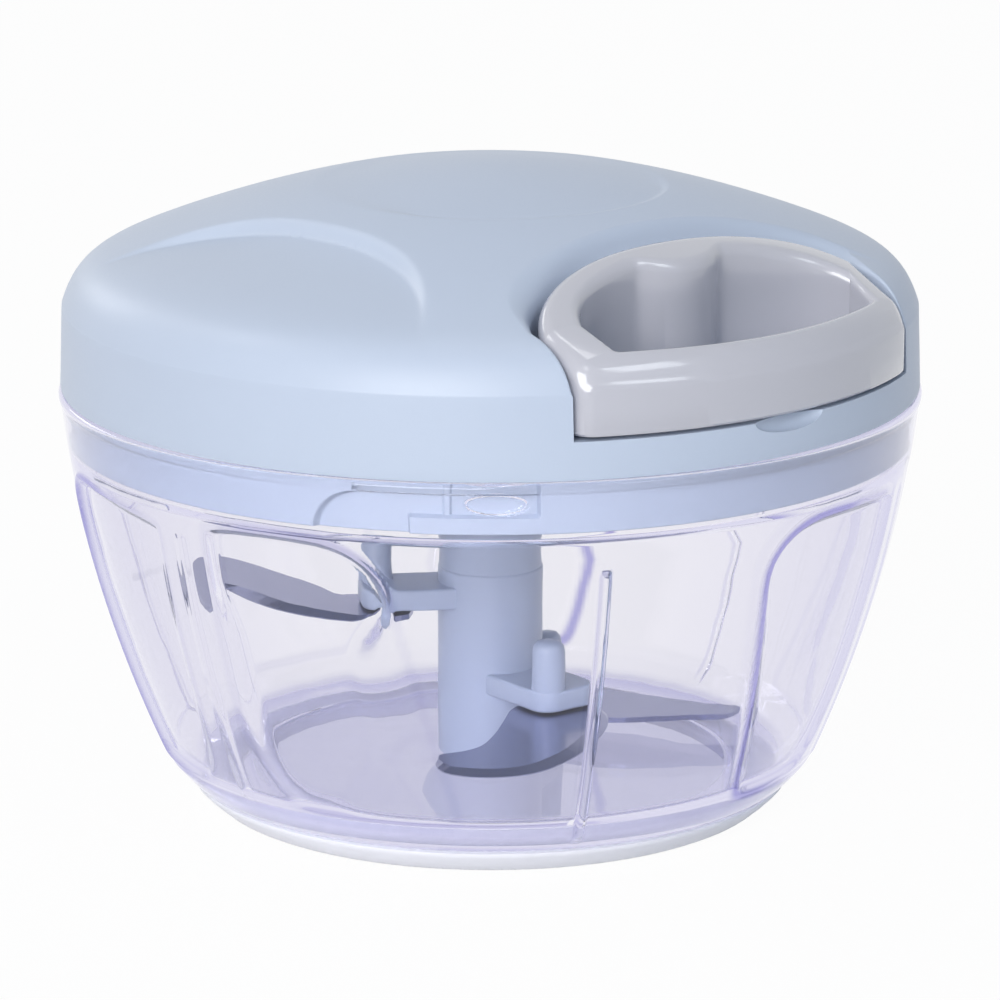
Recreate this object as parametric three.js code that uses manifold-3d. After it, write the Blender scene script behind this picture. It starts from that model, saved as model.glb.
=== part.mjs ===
// A pull-cord food chopper: clear ribbed bowl, domed lid with a cord reel inside,
// a grey ring handle in a pocket of the lid, and a column with three swept blades.
// Lengths are millimetres and angles are degrees. The origin is the centre of the
// base ring's underside, +Z is up, and azimuths turn from -Y towards +X.

import * as THREE from 'three';
import { mergeVertices } from 'three/addons/utils/BufferGeometryUtils.js';
import Module from 'manifold-3d';

const wasm = await Module();
wasm.setup();

// Gaps and overruns that all pieces share
const seatGap = 0.3;
const cutOverrun = 3;
const weldDistance = 0.0004;

// Counts of facets
const bowlSteps = 48;
const lidSteps = 54;
const roundSteps = 32;
const smallSteps = 16;
const tinySteps = 10;

// Bowl
const bowlRimRadius = 62.65;
const bowlHeight = 61.8;
const rimLip = 0.25;
const rimLipHeight = 1.3;
const rimRoomDepth = 0.7;
const bowlWall = 2.1;
const kinkInset = 14.35;
const kinkRise = 4.4;
const footInset = 3.9;
const floorSink = 1;
const floorThickness = 2.4;
const floorRecessInset = 8.8;
const wallBowShare = 0.62;
const turnBowShare = 0.35;
const levelShares = [0, 0.12, 0.28, 0.5, 0.78];

// Leaf-shaped recesses, veins and ribs in the bowl's wall
const patternCount = 3;
const patternDegrees = 360 / patternCount;
const leafAzimuth = -45;
const leafDepth = 0.9;
const leafTopDepth = 9;
const leafShoulderDepth = 18.8;
const leafCornerPower = 3.2;
const leafTopShare = 0.6;
const leafHalfAngles = { right: 32.3, left: 35 };
const leafLeans = { right: 0.21, left: -0.16 };
const veinHalfAngle = 4.5;
const leafHeelRise = 11.6;
const leafHeelDegrees = 7.5;
const leafSlope = 1.6;
const leafRowShares = [0, 0.035, 0.09, 0.19, 0.35, 0.53, 0.69, 0.8, 0.88, 0.935, 0.972, 1];
const leafMiddles = 3;
const bandMiddles = 2;
const ribWidth = 1.5;
const ribCrest = 0.7;
const veinWidth = 2.4;
const veinCrest = 1;
const ribHeight = 0.9;
const veinHeight = 0.6;
const bandRibTopDepth = 12.3;
const veinTopDepth = 10.8;

// Bayonet lugs in the bowl's rim, seen as clear ovals
const lugAzimuth = 0.75;
const lugWidth = 9.2;
const lugReach = 1.1;

// Boss in the bowl's floor, with its steel pin
const bossRadius = 4.4;
const bossHeight = 4.2;
const bossDraft = 0.5;
const pinRadius = 2;
const pinLength = 16.5;
const pinRound = 0.8;

// Base ring
const ringHeight = 3.7;
const ringFootRun = 4;
const ringFootInset = 0.5;
const ringTopInset = 0.2;

// Lid cover: side, dome, dishes and plateau
const lidInset = 0.55;
const lidDraft = 0.4;
const lidRise = 32.6;
const crownShare = 0.4847;
const crownPower = 1.75;
const shoulderShare = 0.1411;
const shoulderPower = 37;
const lidWall = 2.2;
const plateauShare = 0.419;
const plateauDepth = 0.35;
const plateauEdge = 2.5;
const dishDepth = 1.8;
const dishEdge = 2.8;
const dishStartShare = 0.5;
const dishBowShare = 0.16;
const dishHalfWidthShare = 0.475;
const dishPower = 3;
const dishFadeStartShare = 0.58;
const dishFadeEndShare = 0.965;
const fingerDishAzimuth = -45;
const domeShares = [
  1, 0.992, 0.974, 0.94, 0.88, 0.81, 0.73, 0.655, 0.59, 0.548, 0.51, 0.45, 0.419, 0.379, 0.2, 0.04,
];
const sideShares = [0];
const innerShares = [1, 0.96, 0.86, 0.7, 0.52, 0.38, 0.04];

// Handle and its pocket
const handleAzimuth = 41;
const handleInnerShare = 0.55885;
const handleProud = 0.5;
const handleHalfWidthShare = 0.4976;
const handleBowShares = { left: 0.138, right: 0.073 };
const handleBowPower = 2.8;
const handleCorner = 3;
const handleCornerPower = 12;
const handleRise = 6.3;
const handleWalls = { left: 6.4, right: 4.8 };
const handleFrontWall = 3.7;
const handleRound = 2;
const handleDrop = 0.2;
const handleShoulderShare = 0.0706;
const openingWall = 4.5;
const openingBowShare = 0.087;
const openingCorners = { left: 0.6, right: 1.6 };
const handleInnerSteps = 24;
const handleArcSteps = 12;
const pocketClearance = 0.8;
const pocketWall = 2;
const pocketFloorGap = 0.6;
const pocketDishStartShare = 0.49;
const pocketDishShift = 4;
const pocketDishHalfWidthShare = 0.5475;
const pocketDishBowShare = 0.177;
const gripDishAngle = 0.5;
const gripDishWidth = 13.4;
const gripDishHeight = 1.9;
const gripDishDepth = 1.9;

// Knot boss on the handle's inner wall
const knotBossRadius = 10.8;
const knotBossInset = 3.2;
const knotBossShift = 0.8;
const knotPocketRadius = 2.2;
const knotPocketInset = 4;
const knotPocketRise = 4;
const knotRadius = 1.8;

// Cord
const cordRadius = 0.9;
const cordHoleRadius = 1.2;
const eyeletWall = 0.85;
const eyeletFlange = 0.8;
const cordTurns = 3;
const cordTurnGap = 0.5;
const cordSteps = 24;
const cordSides = 6;

// Lid base: plate, skirt, collar and bayonet channels
const skirtGap = 0.4;
const skirtWall = 2.5;
const skirtDepth = 7.4;
const skirtRise = 1.6;
const plateDepth = 1.8;
const plateThickness = 2;
const collarRadius = 11.4;
const channelDepth = 1.1;
const channelRoof = 0.7;
const channelStart = -23.4;
const channelArch = 8.4;
const channelStop = 6.3;
const patchColumns = 4;
const tabStart = -10.6;
const tabHeight = 2.5;
const tabCornerDegrees = 2;
const detentAzimuth = -5.6;
const detentDegrees = 0.9;
const detentHeight = 0.5;

// Lid screws and the cover's posts
const screwCount = 4;
const screwCircleInset = 14.1;
const postRadius = 3.4;
const postBoreRoom = 1.6;
const screwShankRadius = 1.3;
const screwHeadRadius = 2.8;
const screwHeadHeight = 1.7;
const screwLength = 12;
const screwRound = 0.6;

// Reel, spring and their axle
const reelRoom = 4.9;
const reelFlange = 1.5;
const reelDrumShare = 0.667;
const reelFloor = 3.4;
const springCupWall = 2.4;
const springCoverInset = 1.4;
const springCoverThickness = 1.4;
const springCoverRoom = 0.6;
const springStrip = 0.4;
const springHeight = 4.6;
const springTurns = 5;
const springSteps = 18;
const axleRadius = 2.3;
const axleLength = 18.4;
const axleBoreRadius = 1.4;
const axleBoreDepth = 6;
const centrePostRadius = 4.4;
const washerRoom = 1.9;
const washerThickness = 0.8;
const reelScrewHeadRadius = 3.2;
const reelScrewHead = 1.8;
const reelScrewRadius = 1.1;
const reelScrewLength = 5.4;

// One-way clutch: pawls under the reel and the ratchet cup of the drive hub
const pawlCount = 2;
const pawlCircleShare = 0.5;
const pawlLengthShare = 0.4222;
const pawlTilt = 53;
const pawlThickness = 3.2;
const pawlHubRadius = 2.1;
const pawlTipRadius = 0.8;
const pawlPinRadius = 1.1;
const toothCount = 12;
const toothTipRise = 0.33;
const toothRootRoom = 1.33;
const toothSteps = 4;
const cupWall = 1.6;
const cupFloor = 1.6;
const cupDepth = 4.3;

// Drive hub's shaft, spigot and bush
const hubShaftRadius = 7;
const bushWall = 1.4;
const bushFlange = 0.8;
const bushFlangeRadius = 11;
const spigotRadius = 5;
const spigotLength = 13;
const spigotSides = 6;
const spigotClearance = 0.4;

// Blade shaft
const shaftRadius = 7.7;
const neckRadius = 7.5;
const neckLength = 19.5;
const shaftLift = 0.9;
const shaftFootRadius = 5.8;
const shaftFootDepth = 4.2;

// Arms of the blade shaft, each with a post above and a staked stud below
const armHalfWidth = 5.2;
const armReachShare = 0.3996;
const armCorner = 3;
const armThickness = 3.1;
const armPostRadius = 2.5;
const armPostDraft = 0.25;
const armPostShare = 0.3499;
const armPostLag = -8;
const armPostRound = 0.7;
const studRadius = 1.4;
const studHeadRadius = 2.5;
const studHeadHeight = 0.8;
const studShare = 0.3209;
const bladeThickness = 0.8;
const bladeEdge = 0.15;
const bladeBevel = 1.9;
const bladeStepsPerPoint = 3;

// Each blade's level, reach and sweep, the last two as shares of the bowl's room at its level.
// A share pair is a place along the arm and one across it, and the third value is how far the
// edge there is ground to a bevel.
const blades = {
  upper: {
    azimuth: -82,
    armTop: 32.1,
    postHeight: 4,
    reachShare: 0.792,
    sweepShare: 0.563,
    outlineShares: [
      [0.3, -0.2, 0], [0.5, -0.2, 0], [0.56, -0.35, 0], [0.67, -0.61, 0], [0.79, -0.87, 0],
      [0.88, -1, 0], [0.95, -1, 0], [1, -0.91, 0.3], [1.01, -0.5, 0.3], [0.965, -0.06, 0],
      [0.93, -0.28, 0.2], [0.9, -0.46, 0.5], [0.8, -0.2, 1], [0.7, 0, 1], [0.5, 0.2, 0.6],
      [0.4, 0.2, 0], [0.3, 0.18, 0],
    ],
  },
  middle: {
    azimuth: 38,
    armTop: 19.7,
    postHeight: 7.2,
    reachShare: 0.755,
    sweepShare: 0.627,
    outlineShares: [
      [0.33, -0.16, 0], [0.44, -0.33, 0], [0.56, -0.5, 0], [0.655, -0.67, 0], [0.665, -0.79, 0],
      [0.645, -0.9, 0], [0.78, -1, 0.6], [0.89, -0.95, 1], [0.965, -0.84, 1], [1, -0.68, 1],
      [0.945, -0.43, 1], [0.85, -0.22, 1], [0.72, 0, 1], [0.575, 0.15, 0.5], [0.44, 0.18, 0],
      [0.33, 0.16, 0],
    ],
  },
  lower: {
    azimuth: 158,
    armTop: 12.8,
    postHeight: 7.2,
    reachShare: 0.57,
    sweepShare: 0.672,
    outlineShares: [
      [0.45, -0.16, 0], [0.41, -0.3, 0], [0.42, -0.46, 0], [0.56, -0.7, 0], [0.7, -0.92, 0],
      [0.76, -0.985, 0], [0.85, -1, 0.3], [0.955, -0.98, 0.8], [0.955, -0.86, 1],
      [0.955, -0.73, 1], [0.97, -0.64, 1], [0.985, -0.53, 1], [1, -0.38, 1], [0.98, -0.2, 1],
      [0.92, 0, 0.6], [0.75, 0.14, 0], [0.5, 0.16, 0],
    ],
  },
};

// Radii that follow from the bowl's rim
const lidRadius = bowlRimRadius - lidInset;
const kinkRadius = bowlRimRadius - kinkInset;
const armReach = armReachShare * kinkRadius;
const armPostCircle = armPostShare * kinkRadius;
const studPlace = studShare * kinkRadius;
const footRadius = kinkRadius - footInset;
const floorRecessRadius = footRadius - floorRecessInset;
const ringFootRadius = footRadius - ringFootRun;
const coverInnerRadius = lidRadius + lidDraft - lidWall;
const skirtRadius = coverInnerRadius - skirtGap;
const screwCircle = lidRadius - screwCircleInset;
const plateauRadius = plateauShare * lidRadius;
const handleOuter = lidRadius + handleProud;
const handleInner = handleInnerShare * lidRadius;
const handleHalfWidth = handleHalfWidthShare * lidRadius;
const pocketFace = handleInner - pocketClearance;
const knotPocketCentre = handleInner + knotPocketInset;
const reelFlangeRadius = pocketFace - pocketWall - reelRoom;
const reelDrumRadius = reelDrumShare * reelFlangeRadius;
const springCupRadius = reelDrumRadius - springCupWall;
const springCoverRadius = reelDrumRadius - springCoverInset;
const pawlCircle = pawlCircleShare * reelDrumRadius;
const pawlLength = pawlLengthShare * reelDrumRadius;
const washerRadius = pawlCircle - pawlHubRadius - washerRoom;
const pawlReach = pawlCircle + pawlLength * Math.cos(radians(pawlTilt));
const pawlAcross = pawlLength * Math.sin(radians(pawlTilt));
const pawlTipCircle = Math.hypot(pawlReach, pawlAcross);
const toothTipRadius = pawlTipCircle + toothTipRise;
const toothRootRadius = pawlTipCircle + pawlTipRadius + toothRootRoom;
const springCoverHole = centrePostRadius + springCoverRoom;

// Heights that follow from the pieces below them
const footHeight = ringHeight + seatGap;
const kinkHeight = footHeight + kinkRise;
const floorUnderside = footHeight - floorSink;
const leafTop = bowlHeight - leafTopDepth;
const leafShoulder = bowlHeight - leafShoulderDepth;
const leafHeel = kinkHeight + leafHeelRise;
const bandRibTop = bowlHeight - bandRibTopDepth;
const veinTop = bowlHeight - veinTopDepth;
const lidTop = bowlHeight + lidRise;
const crownDrop = crownShare * lidRise;
const shoulderDrop = shoulderShare * lidRise;
const handleShoulderDrop = handleShoulderShare * lidRise;
const handleBottom = bowlHeight + handleRise;
const pocketFloor = handleBottom - pocketFloorGap;
const skirtBottom = bowlHeight - skirtDepth;
const skirtTop = bowlHeight + skirtRise;
const plateTop = bowlHeight - plateDepth;
const channelTop = plateTop + channelRoof;
const screwTop = plateTop - plateThickness - seatGap + screwLength;
const tabTop = skirtBottom + tabHeight;
const lugCentreHeight = (tabTop + channelTop) / 2;
const lugHeight = channelTop - tabTop - 2 * seatGap;
const floorTop = floorUnderside + floorThickness;
const shaftBottom = floorTop + shaftLift;
const bossTop = floorTop + bossHeight;
const pinBottom = floorTop + seatGap;
const pinTop = pinBottom + pinLength;
const lidBottom = bowlHeight + seatGap;
const bushTop = plateTop + seatGap + bushFlange;
const hubBottom = bushTop + seatGap;
const cupTop = hubBottom + cupFloor + cupDepth;
const reelBottom = cupTop + seatGap;
const springCupBottom = reelBottom + reelFloor;
const cordPitch = 2 * cordRadius + cordTurnGap;
const firstTurn = reelBottom + reelFlange + seatGap + cordRadius;
const cordHeight = firstTurn + cordTurns * cordPitch;
const reelUpperFlange = cordHeight + cordRadius + seatGap;
const reelTop = reelUpperFlange + reelFlange;
const springCoverBottom = reelTop - seatGap - springCoverThickness;
const hubShaftBottom = skirtBottom - seatGap;
const spigotBottom = hubShaftBottom - spigotLength;
const shaftTop = hubShaftBottom - seatGap;
const windingRadius = reelDrumRadius + seatGap + cordRadius;
const eyeletTubeRadius = cordHoleRadius + eyeletWall;
const shaftStep = shaftTop - neckLength;

// Helpers for shapes

function radians(degrees) {
  return THREE.MathUtils.degToRad(degrees);
}

function onAzimuth(radius, azimuth, height) {
  const angle = radians(azimuth);
  return new THREE.Vector3(radius * Math.sin(angle), -radius * Math.cos(angle), height);
}

// A place given along and across a direction that points to -Y before it is turned
function along(reach, across, height) {
  return new THREE.Vector3(across, -reach, height);
}

function smooth(from, to, value) {
  return THREE.MathUtils.smoothstep(value, from, to);
}

// A closed geometry from points and triangles, with the faces turned outwards
function closedGeometry(points, faces) {
  let volume = 0;
  const normal = new THREE.Vector3();
  for (const [a, b, c] of faces) {
    normal.crossVectors(points[b], points[c]);
    volume += points[a].dot(normal);
  }
  const index = [];
  for (const [a, b, c] of faces) {
    if (volume < 0) index.push(a, c, b);
    else index.push(a, b, c);
  }
  const geometry = new THREE.BufferGeometry().setFromPoints(points);
  geometry.setIndex(index);
  return geometry;
}

// Rings of points skinned in order: closed in a loop, or capped at both ends
function skin(rings, looped, capFaces = fanFaces(rings[0].length)) {
  const count = rings[0].length;
  const faces = [];
  const spans = looped ? rings.length : rings.length - 1;
  for (let i = 0; i < spans; i += 1) {
    const low = i * count;
    const high = ((i + 1) % rings.length) * count;
    for (let j = 0; j < count; j += 1) {
      const next = (j + 1) % count;
      faces.push([low + j, low + next, high + next]);
      faces.push([low + j, high + next, high + j]);
    }
  }
  const last = (rings.length - 1) * count;
  for (const [a, b, c] of looped ? [] : capFaces) {
    faces.push([a, b, c]);
    faces.push([last + a, last + c, last + b]);
  }
  return closedGeometry(rings.flat(), faces);
}

function fanFaces(count) {
  return Array.from({ length: count - 2 }, (_, j) => [0, j + 2, j + 1]);
}

// A curved slab between two surfaces, each given over a row share and a column share
function slab(rowShares, columns, below, above) {
  const rings = rowShares.map((row) => {
    const ring = [];
    for (let j = 0; j <= columns; j += 1) ring.push(below(row, j / columns));
    for (let j = columns; j >= 0; j -= 1) ring.push(above(row, j / columns));
    return ring;
  });
  const caps = [];
  for (let j = 0; j < columns; j += 1) {
    const far = 2 * columns + 1 - j;
    caps.push([j, far, far - 1], [j, far - 1, j + 1]);
  }
  return skin(rings, false, caps);
}

function trianglesOf(index) {
  const faces = [];
  for (let i = 0; i < index.length; i += 3) faces.push([index[i], index[i + 1], index[i + 2]]);
  return faces;
}

// Solids for joining and cutting
function solid(geometry) {
  const bare = new THREE.BufferGeometry();
  bare.setAttribute('position', geometry.getAttribute('position').clone());
  if (geometry.getIndex()) bare.setIndex(geometry.getIndex().clone());
  const merged = mergeVertices(bare, weldDistance);
  const faces = [];
  for (const [a, b, c] of trianglesOf(merged.getIndex().array)) {
    if (a !== b && b !== c && c !== a) faces.push(a, b, c);
  }
  return new wasm.Manifold(new wasm.Mesh({
    numProp: 3,
    vertProperties: merged.getAttribute('position').array,
    triVerts: new Uint32Array(faces),
  }));
}

function geometryOf(joined) {
  const mesh = joined.getMesh();
  const geometry = new THREE.BufferGeometry();
  geometry.setAttribute('position', new THREE.BufferAttribute(mesh.vertProperties, mesh.numProp));
  geometry.setIndex(new THREE.BufferAttribute(mesh.triVerts, 1));
  geometry.computeVertexNormals();
  return geometry;
}

// A revolve about Z from [radius, height] pairs that run up the outside
function revolve(profile, steps) {
  const points = profile.map(([radius, height]) => new THREE.Vector2(radius, height));
  const first = points[0];
  const last = points[points.length - 1];
  if (first.x > 0 || last.x > 0) points.push(first.clone());
  return new THREE.LatheGeometry(points, steps).rotateX(Math.PI / 2);
}

function revolved(profile, steps) {
  return solid(revolve(profile, steps));
}

function cylinder(radius, bottom, top, steps, x = 0, y = 0) {
  const profile = [[0, bottom], [radius, bottom], [radius, top], [0, top]];
  return solid(revolve(profile, steps).translate(x, y, 0));
}

function tube(inner, outer, bottom, top, steps) {
  return revolved([[inner, bottom], [outer, bottom], [outer, top], [inner, top]], steps);
}

// An outline in the XY plane raised from one height to another
function prism(shape, bottom, top) {
  const geometry = new THREE.ExtrudeGeometry(shape, { depth: top - bottom, bevelEnabled: false });
  return geometry.translate(0, 0, bottom);
}

// A round bar that lies along the direction that points to -Y before it is turned
function barAlong(radius, from, to, height, steps) {
  const bar = new THREE.CylinderGeometry(radius, radius, to - from, steps);
  return bar.translate(0, -(from + to) / 2, height);
}

function joinAll(solids) {
  return solids.reduce((sum, next) => sum.add(next));
}

function cutAll(base, tools) {
  return tools.reduce((rest, tool) => rest.subtract(tool), base);
}

function repeated(count, makeOne) {
  return Array.from({ length: count }, (_, i) => makeOne((i * 360) / count, i));
}

// A bar of square or many-sided section swept along points with given side vectors
function sweep(points, sectionAt) {
  return skin(points.map((point, i) => sectionAt(point, i)), false);
}

// Round cord through a list of points
function cordThrough(points, radius, sides) {
  return sweep(points, (point, i) => {
    const before = points[Math.max(i - 1, 0)];
    const after = points[Math.min(i + 1, points.length - 1)];
    const tangent = after.clone().sub(before).normalize();
    const side = tangent.clone().cross(new THREE.Vector3(0, 0, 1)).normalize();
    const up = side.clone().cross(tangent);
    const ring = [];
    for (let j = 0; j < sides; j += 1) {
      const angle = (j / sides) * 2 * Math.PI;
      const offset = side.clone().multiplyScalar(radius * Math.cos(angle));
      ring.push(point.clone().add(offset).addScaledVector(up, radius * Math.sin(angle)));
    }
    return ring;
  });
}

// Bowl

function bowlRadius(height) {
  const rise = (height - kinkHeight) / (bowlHeight - kinkHeight);
  if (rise >= 0) {
    const bowed = (1 + wallBowShare) * rise - wallBowShare * rise * rise;
    return kinkRadius + (bowlRimRadius - kinkRadius) * bowed;
  }
  const turn = (height - footHeight) / (kinkHeight - footHeight);
  const bowed = (1 + turnBowShare) * turn - turnBowShare * turn * turn;
  return footRadius + (kinkRadius - footRadius) * bowed;
}

// The bowl's hollow, with the room for the lid's skirt at the rim
function bowlHollow() {
  const room = skirtRadius + skirtGap;
  const roomBottom = skirtBottom - rimRoomDepth;
  const corner = footRadius - bowlWall / 2;
  const profile = [
    [0, floorTop],
    [corner - 2 * bowlWall, floorTop],
    [corner, kinkHeight - bowlWall / 2],
  ];
  for (const share of levelShares) {
    const height = kinkHeight + share * (roomBottom - kinkHeight) + bowlWall / 2;
    profile.push([bowlRadius(height) - bowlWall, height]);
  }
  const ledge = bowlRadius(roomBottom - bowlWall / 2) - bowlWall;
  profile.push([ledge, roomBottom - bowlWall / 2], [room, roomBottom]);
  profile.push([room, bowlHeight + cutOverrun], [0, bowlHeight + cutOverrun]);
  return revolved(profile, bowlSteps);
}

// Azimuths between which one half of a leaf is recessed at a height
function leafBounds(side, height) {
  const level = Math.min(Math.max(height, kinkHeight), leafTop);
  const corner = Math.max(level - leafShoulder, 0) / (leafTop - leafShoulder);
  const rounded = (1 - corner ** leafCornerPower) ** (1 / leafCornerPower);
  const heel = Math.max(leafHeel - level, 0) / (leafHeel - kinkHeight);
  const inner = veinHalfAngle + leafHeelDegrees * (1 - Math.sqrt(1 - heel * heel));
  const half = side > 0 ? leafHalfAngles.right : leafHalfAngles.left;
  const lean = side > 0 ? leafLeans.right : leafLeans.left;
  const outer = half + lean * Math.max(leafShoulder - level, 0);
  return { inner, outer: inner + (outer - inner) * Math.max(rounded, leafTopShare) };
}

// Columns of one third of the wall at a height: the turn from the vein, and how far it stands out
function wallColumns(height) {
  const radius = bowlRadius(height);
  const turnOf = (length) => THREE.MathUtils.radToDeg(length / radius);
  const recess = height > kinkHeight && height < leafTop ? -leafDepth : 0;
  const rib = height > kinkHeight && height < bandRibTop ? ribHeight : 0;
  const vein = height > kinkHeight && height < veinTop ? veinHeight : 0;
  const end = patternDegrees / 2;
  const between = (from, to, count, level) => Array.from({ length: count }, (_, i) => {
    return [from + ((to - from) * (i + 1)) / (count + 1), level];
  });
  const half = (side) => {
    const { inner, outer } = leafBounds(side, height);
    const slope = turnOf(leafSlope);
    const ribFoot = end - turnOf(ribWidth / 2);
    return [
      [turnOf(veinCrest / 2), vein],
      [turnOf(veinWidth / 2), 0],
      [inner, 0],
      [inner + slope, recess],
      ...between(inner + slope, outer - slope, leafMiddles, recess),
      [outer - slope, recess],
      [outer, 0],
      ...between(outer, ribFoot, bandMiddles, 0),
      [ribFoot, 0],
      [end - turnOf(ribCrest / 2), rib],
    ].map(([turn, level]) => [side * turn, level]);
  };
  return [...half(-1).reverse(), ...half(1)];
}

function wallRing(height) {
  const ring = [];
  for (let i = 0; i < patternCount; i += 1) {
    for (const [turn, level] of wallColumns(height)) {
      const azimuth = leafAzimuth + i * patternDegrees + turn;
      ring.push(onAzimuth(bowlRadius(height) + level, azimuth, height));
    }
  }
  return ring;
}

function bowlOutside() {
  const rimStart = bowlHeight - rimLipHeight;
  const heights = [footHeight, (footHeight + kinkHeight) / 2];
  for (const share of leafRowShares) heights.push(kinkHeight + share * (leafTop - kinkHeight));
  heights.push((leafTop + rimStart) / 2, rimStart);
  const rings = heights.map((height) => wallRing(height));
  const count = rings[0].length;
  const cap = fanFaces(count);
  return { rings, cap };
}

function bowlLug(azimuth) {
  const inner = skirtRadius + seatGap - lugReach + ribHeight / 2;
  const outer = bowlRimRadius - bowlWall / 2;
  const disc = barAlong(lugWidth / 2, inner, outer, 0, smallSteps);
  disc.scale(1, 1, lugHeight / lugWidth).translate(0, 0, lugCentreHeight);
  return solid(disc.rotateZ(radians(azimuth)));
}

function makeBowl() {
  const { rings, cap } = bowlOutside();
  const wall = solid(skin(rings, false, cap));
  const rimStart = bowlHeight - rimLipHeight;
  const lip = revolved([
    [0, rimStart - rimLip],
    [bowlRadius(rimStart) - rimLip, rimStart - rimLip],
    [bowlRadius(rimStart) + rimLip, rimStart + rimLip],
    [bowlRadius(rimStart) + rimLip, bowlHeight],
    [0, bowlHeight],
  ], bowlSteps);
  const floor = cylinder(floorRecessRadius, floorUnderside, floorTop, bowlSteps);
  const boss = revolved([
    [0, floorTop - floorThickness / 2],
    [bossRadius + bossDraft, floorTop - floorThickness / 2],
    [bossRadius, bossTop],
    [0, bossTop],
  ], smallSteps);
  const lugs = repeated(patternCount, (turn) => bowlLug(lugAzimuth + turn));
  const pinHole = cylinder(pinRadius + seatGap, floorTop, bossTop + cutOverrun, smallSteps);
  const shell = joinAll([wall, lip, floor]).subtract(bowlHollow());
  return geometryOf(joinAll([shell, boss, ...lugs]).subtract(pinHole));
}

function makePivotPin() {
  return geometryOf(revolved([
    [0, pinBottom],
    [pinRadius, pinBottom],
    [pinRadius, pinTop - pinRound],
    [pinRadius - pinRound, pinTop],
    [0, pinTop],
  ], smallSteps));
}

function makeBaseRing() {
  const innerRadius = floorRecessRadius + 2 * seatGap;
  return geometryOf(revolved([
    [innerRadius + ringFootInset, 0],
    [ringFootRadius, 0],
    [(ringFootRadius + footRadius) / 2 + ringFootInset, ringHeight / 2],
    [footRadius - ringTopInset, ringHeight],
    [innerRadius, ringHeight],
    [innerRadius, ringFootInset],
  ], bowlSteps));
}

// Lid cover

function dishShare(reach, across, startShare, halfWidthShare, bowShare) {
  const bowed = bowShare * Math.abs(across / (halfWidthShare * lidRadius)) ** dishPower;
  const edge = lidRadius * (startShare + bowed);
  return smooth(edge, edge + dishEdge, reach);
}

// How far the top lies below the plain dome: the finger dish, the dish round the pocket, the plateau
function reliefAt(radius, azimuth) {
  const fade = 1 - smooth(dishFadeStartShare, dishFadeEndShare, radius / lidRadius);
  const seen = (centre) => {
    const angle = radians(azimuth - centre);
    return { reach: radius * Math.cos(angle), across: radius * Math.sin(angle) };
  };
  const finger = seen(fingerDishAzimuth);
  const pocket = seen(handleAzimuth);
  const fingerShare = dishShare(
    finger.reach, finger.across, dishStartShare, dishHalfWidthShare, dishBowShare,
  );
  const pocketShare = dishShare(
    pocket.reach, pocket.across - pocketDishShift, pocketDishStartShare,
    pocketDishHalfWidthShare, pocketDishBowShare,
  );
  const plateau = plateauDepth * (1 - smooth(plateauRadius - plateauEdge, plateauRadius, radius));
  return dishDepth * fade * Math.max(fingerShare, pocketShare) + plateau;
}

function domeHeight(radius, shoulder = shoulderDrop) {
  const share = Math.min(radius / lidRadius, 1);
  return lidTop - crownDrop * share ** crownPower - shoulder * share ** shoulderPower;
}

// A solid under the dome: its side starts at a given bottom and its roof may lie lower than the outside
function domeSolid(inset, bottom, shares, steps, relief) {
  const sideTop = domeHeight(lidRadius) - inset;
  const edge = lidRadius - inset;
  const rings = [];
  const ringAt = (radius, heightAt) => {
    const ring = [];
    for (let j = 0; j < steps; j += 1) {
      const azimuth = (j * 360) / steps;
      ring.push(onAzimuth(radius, azimuth, heightAt(azimuth)));
    }
    rings.push(ring);
  };
  for (const share of sideShares) {
    ringAt(edge + lidDraft * (1 - share), () => bottom + share * (sideTop - bottom));
  }
  for (const share of shares) {
    const outer = lidRadius * share;
    const lowered = (azimuth) => domeHeight(outer) - inset - (relief ? reliefAt(outer, azimuth) : 0);
    ringAt(edge * share, lowered);
  }
  return solid(skin(rings, false));
}

function innerCurve(start, halfWidth, bow, across) {
  const share = Math.min(Math.abs(across) / halfWidth, 1);
  return start + bow * share ** handleBowPower + handleCorner * share ** handleCornerPower;
}

// The bow of the handle's back on either side of its middle
function handleBow(across) {
  return lidRadius * (across < 0 ? handleBowShares.left : handleBowShares.right);
}

// The handle's outline, grown all round, as a shape that runs out past the lid's side
function pocketShape(grow) {
  const halfWidth = handleHalfWidth + grow;
  const far = lidRadius + cutOverrun;
  const points = [new THREE.Vector2(-halfWidth, -far)];
  for (let i = -smallSteps / 2; i <= smallSteps / 2; i += 1) {
    const across = (2 * i * halfWidth) / smallSteps;
    const reach = innerCurve(handleInner - grow, halfWidth, handleBow(across), across);
    points.push(new THREE.Vector2(across, -reach));
  }
  points.push(new THREE.Vector2(halfWidth, -far));
  return new THREE.Shape(points);
}

// A hollow for the fingertip in the band under the handle
function gripDish() {
  const ball = new THREE.SphereGeometry(gripDishWidth / 2, tinySteps, tinySteps);
  ball.scale(1, (2 * gripDishDepth) / gripDishWidth, (2 * gripDishHeight) / gripDishWidth);
  ball.translate(0, -lidRadius - lidDraft, pocketFloor);
  return solid(ball.rotateZ(radians(handleAzimuth + gripDishAngle)));
}

function screwPlaces() {
  return repeated(screwCount, (turn) => {
    return onAzimuth(screwCircle, handleAzimuth + turn + 180 / screwCount, 0);
  });
}

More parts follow.
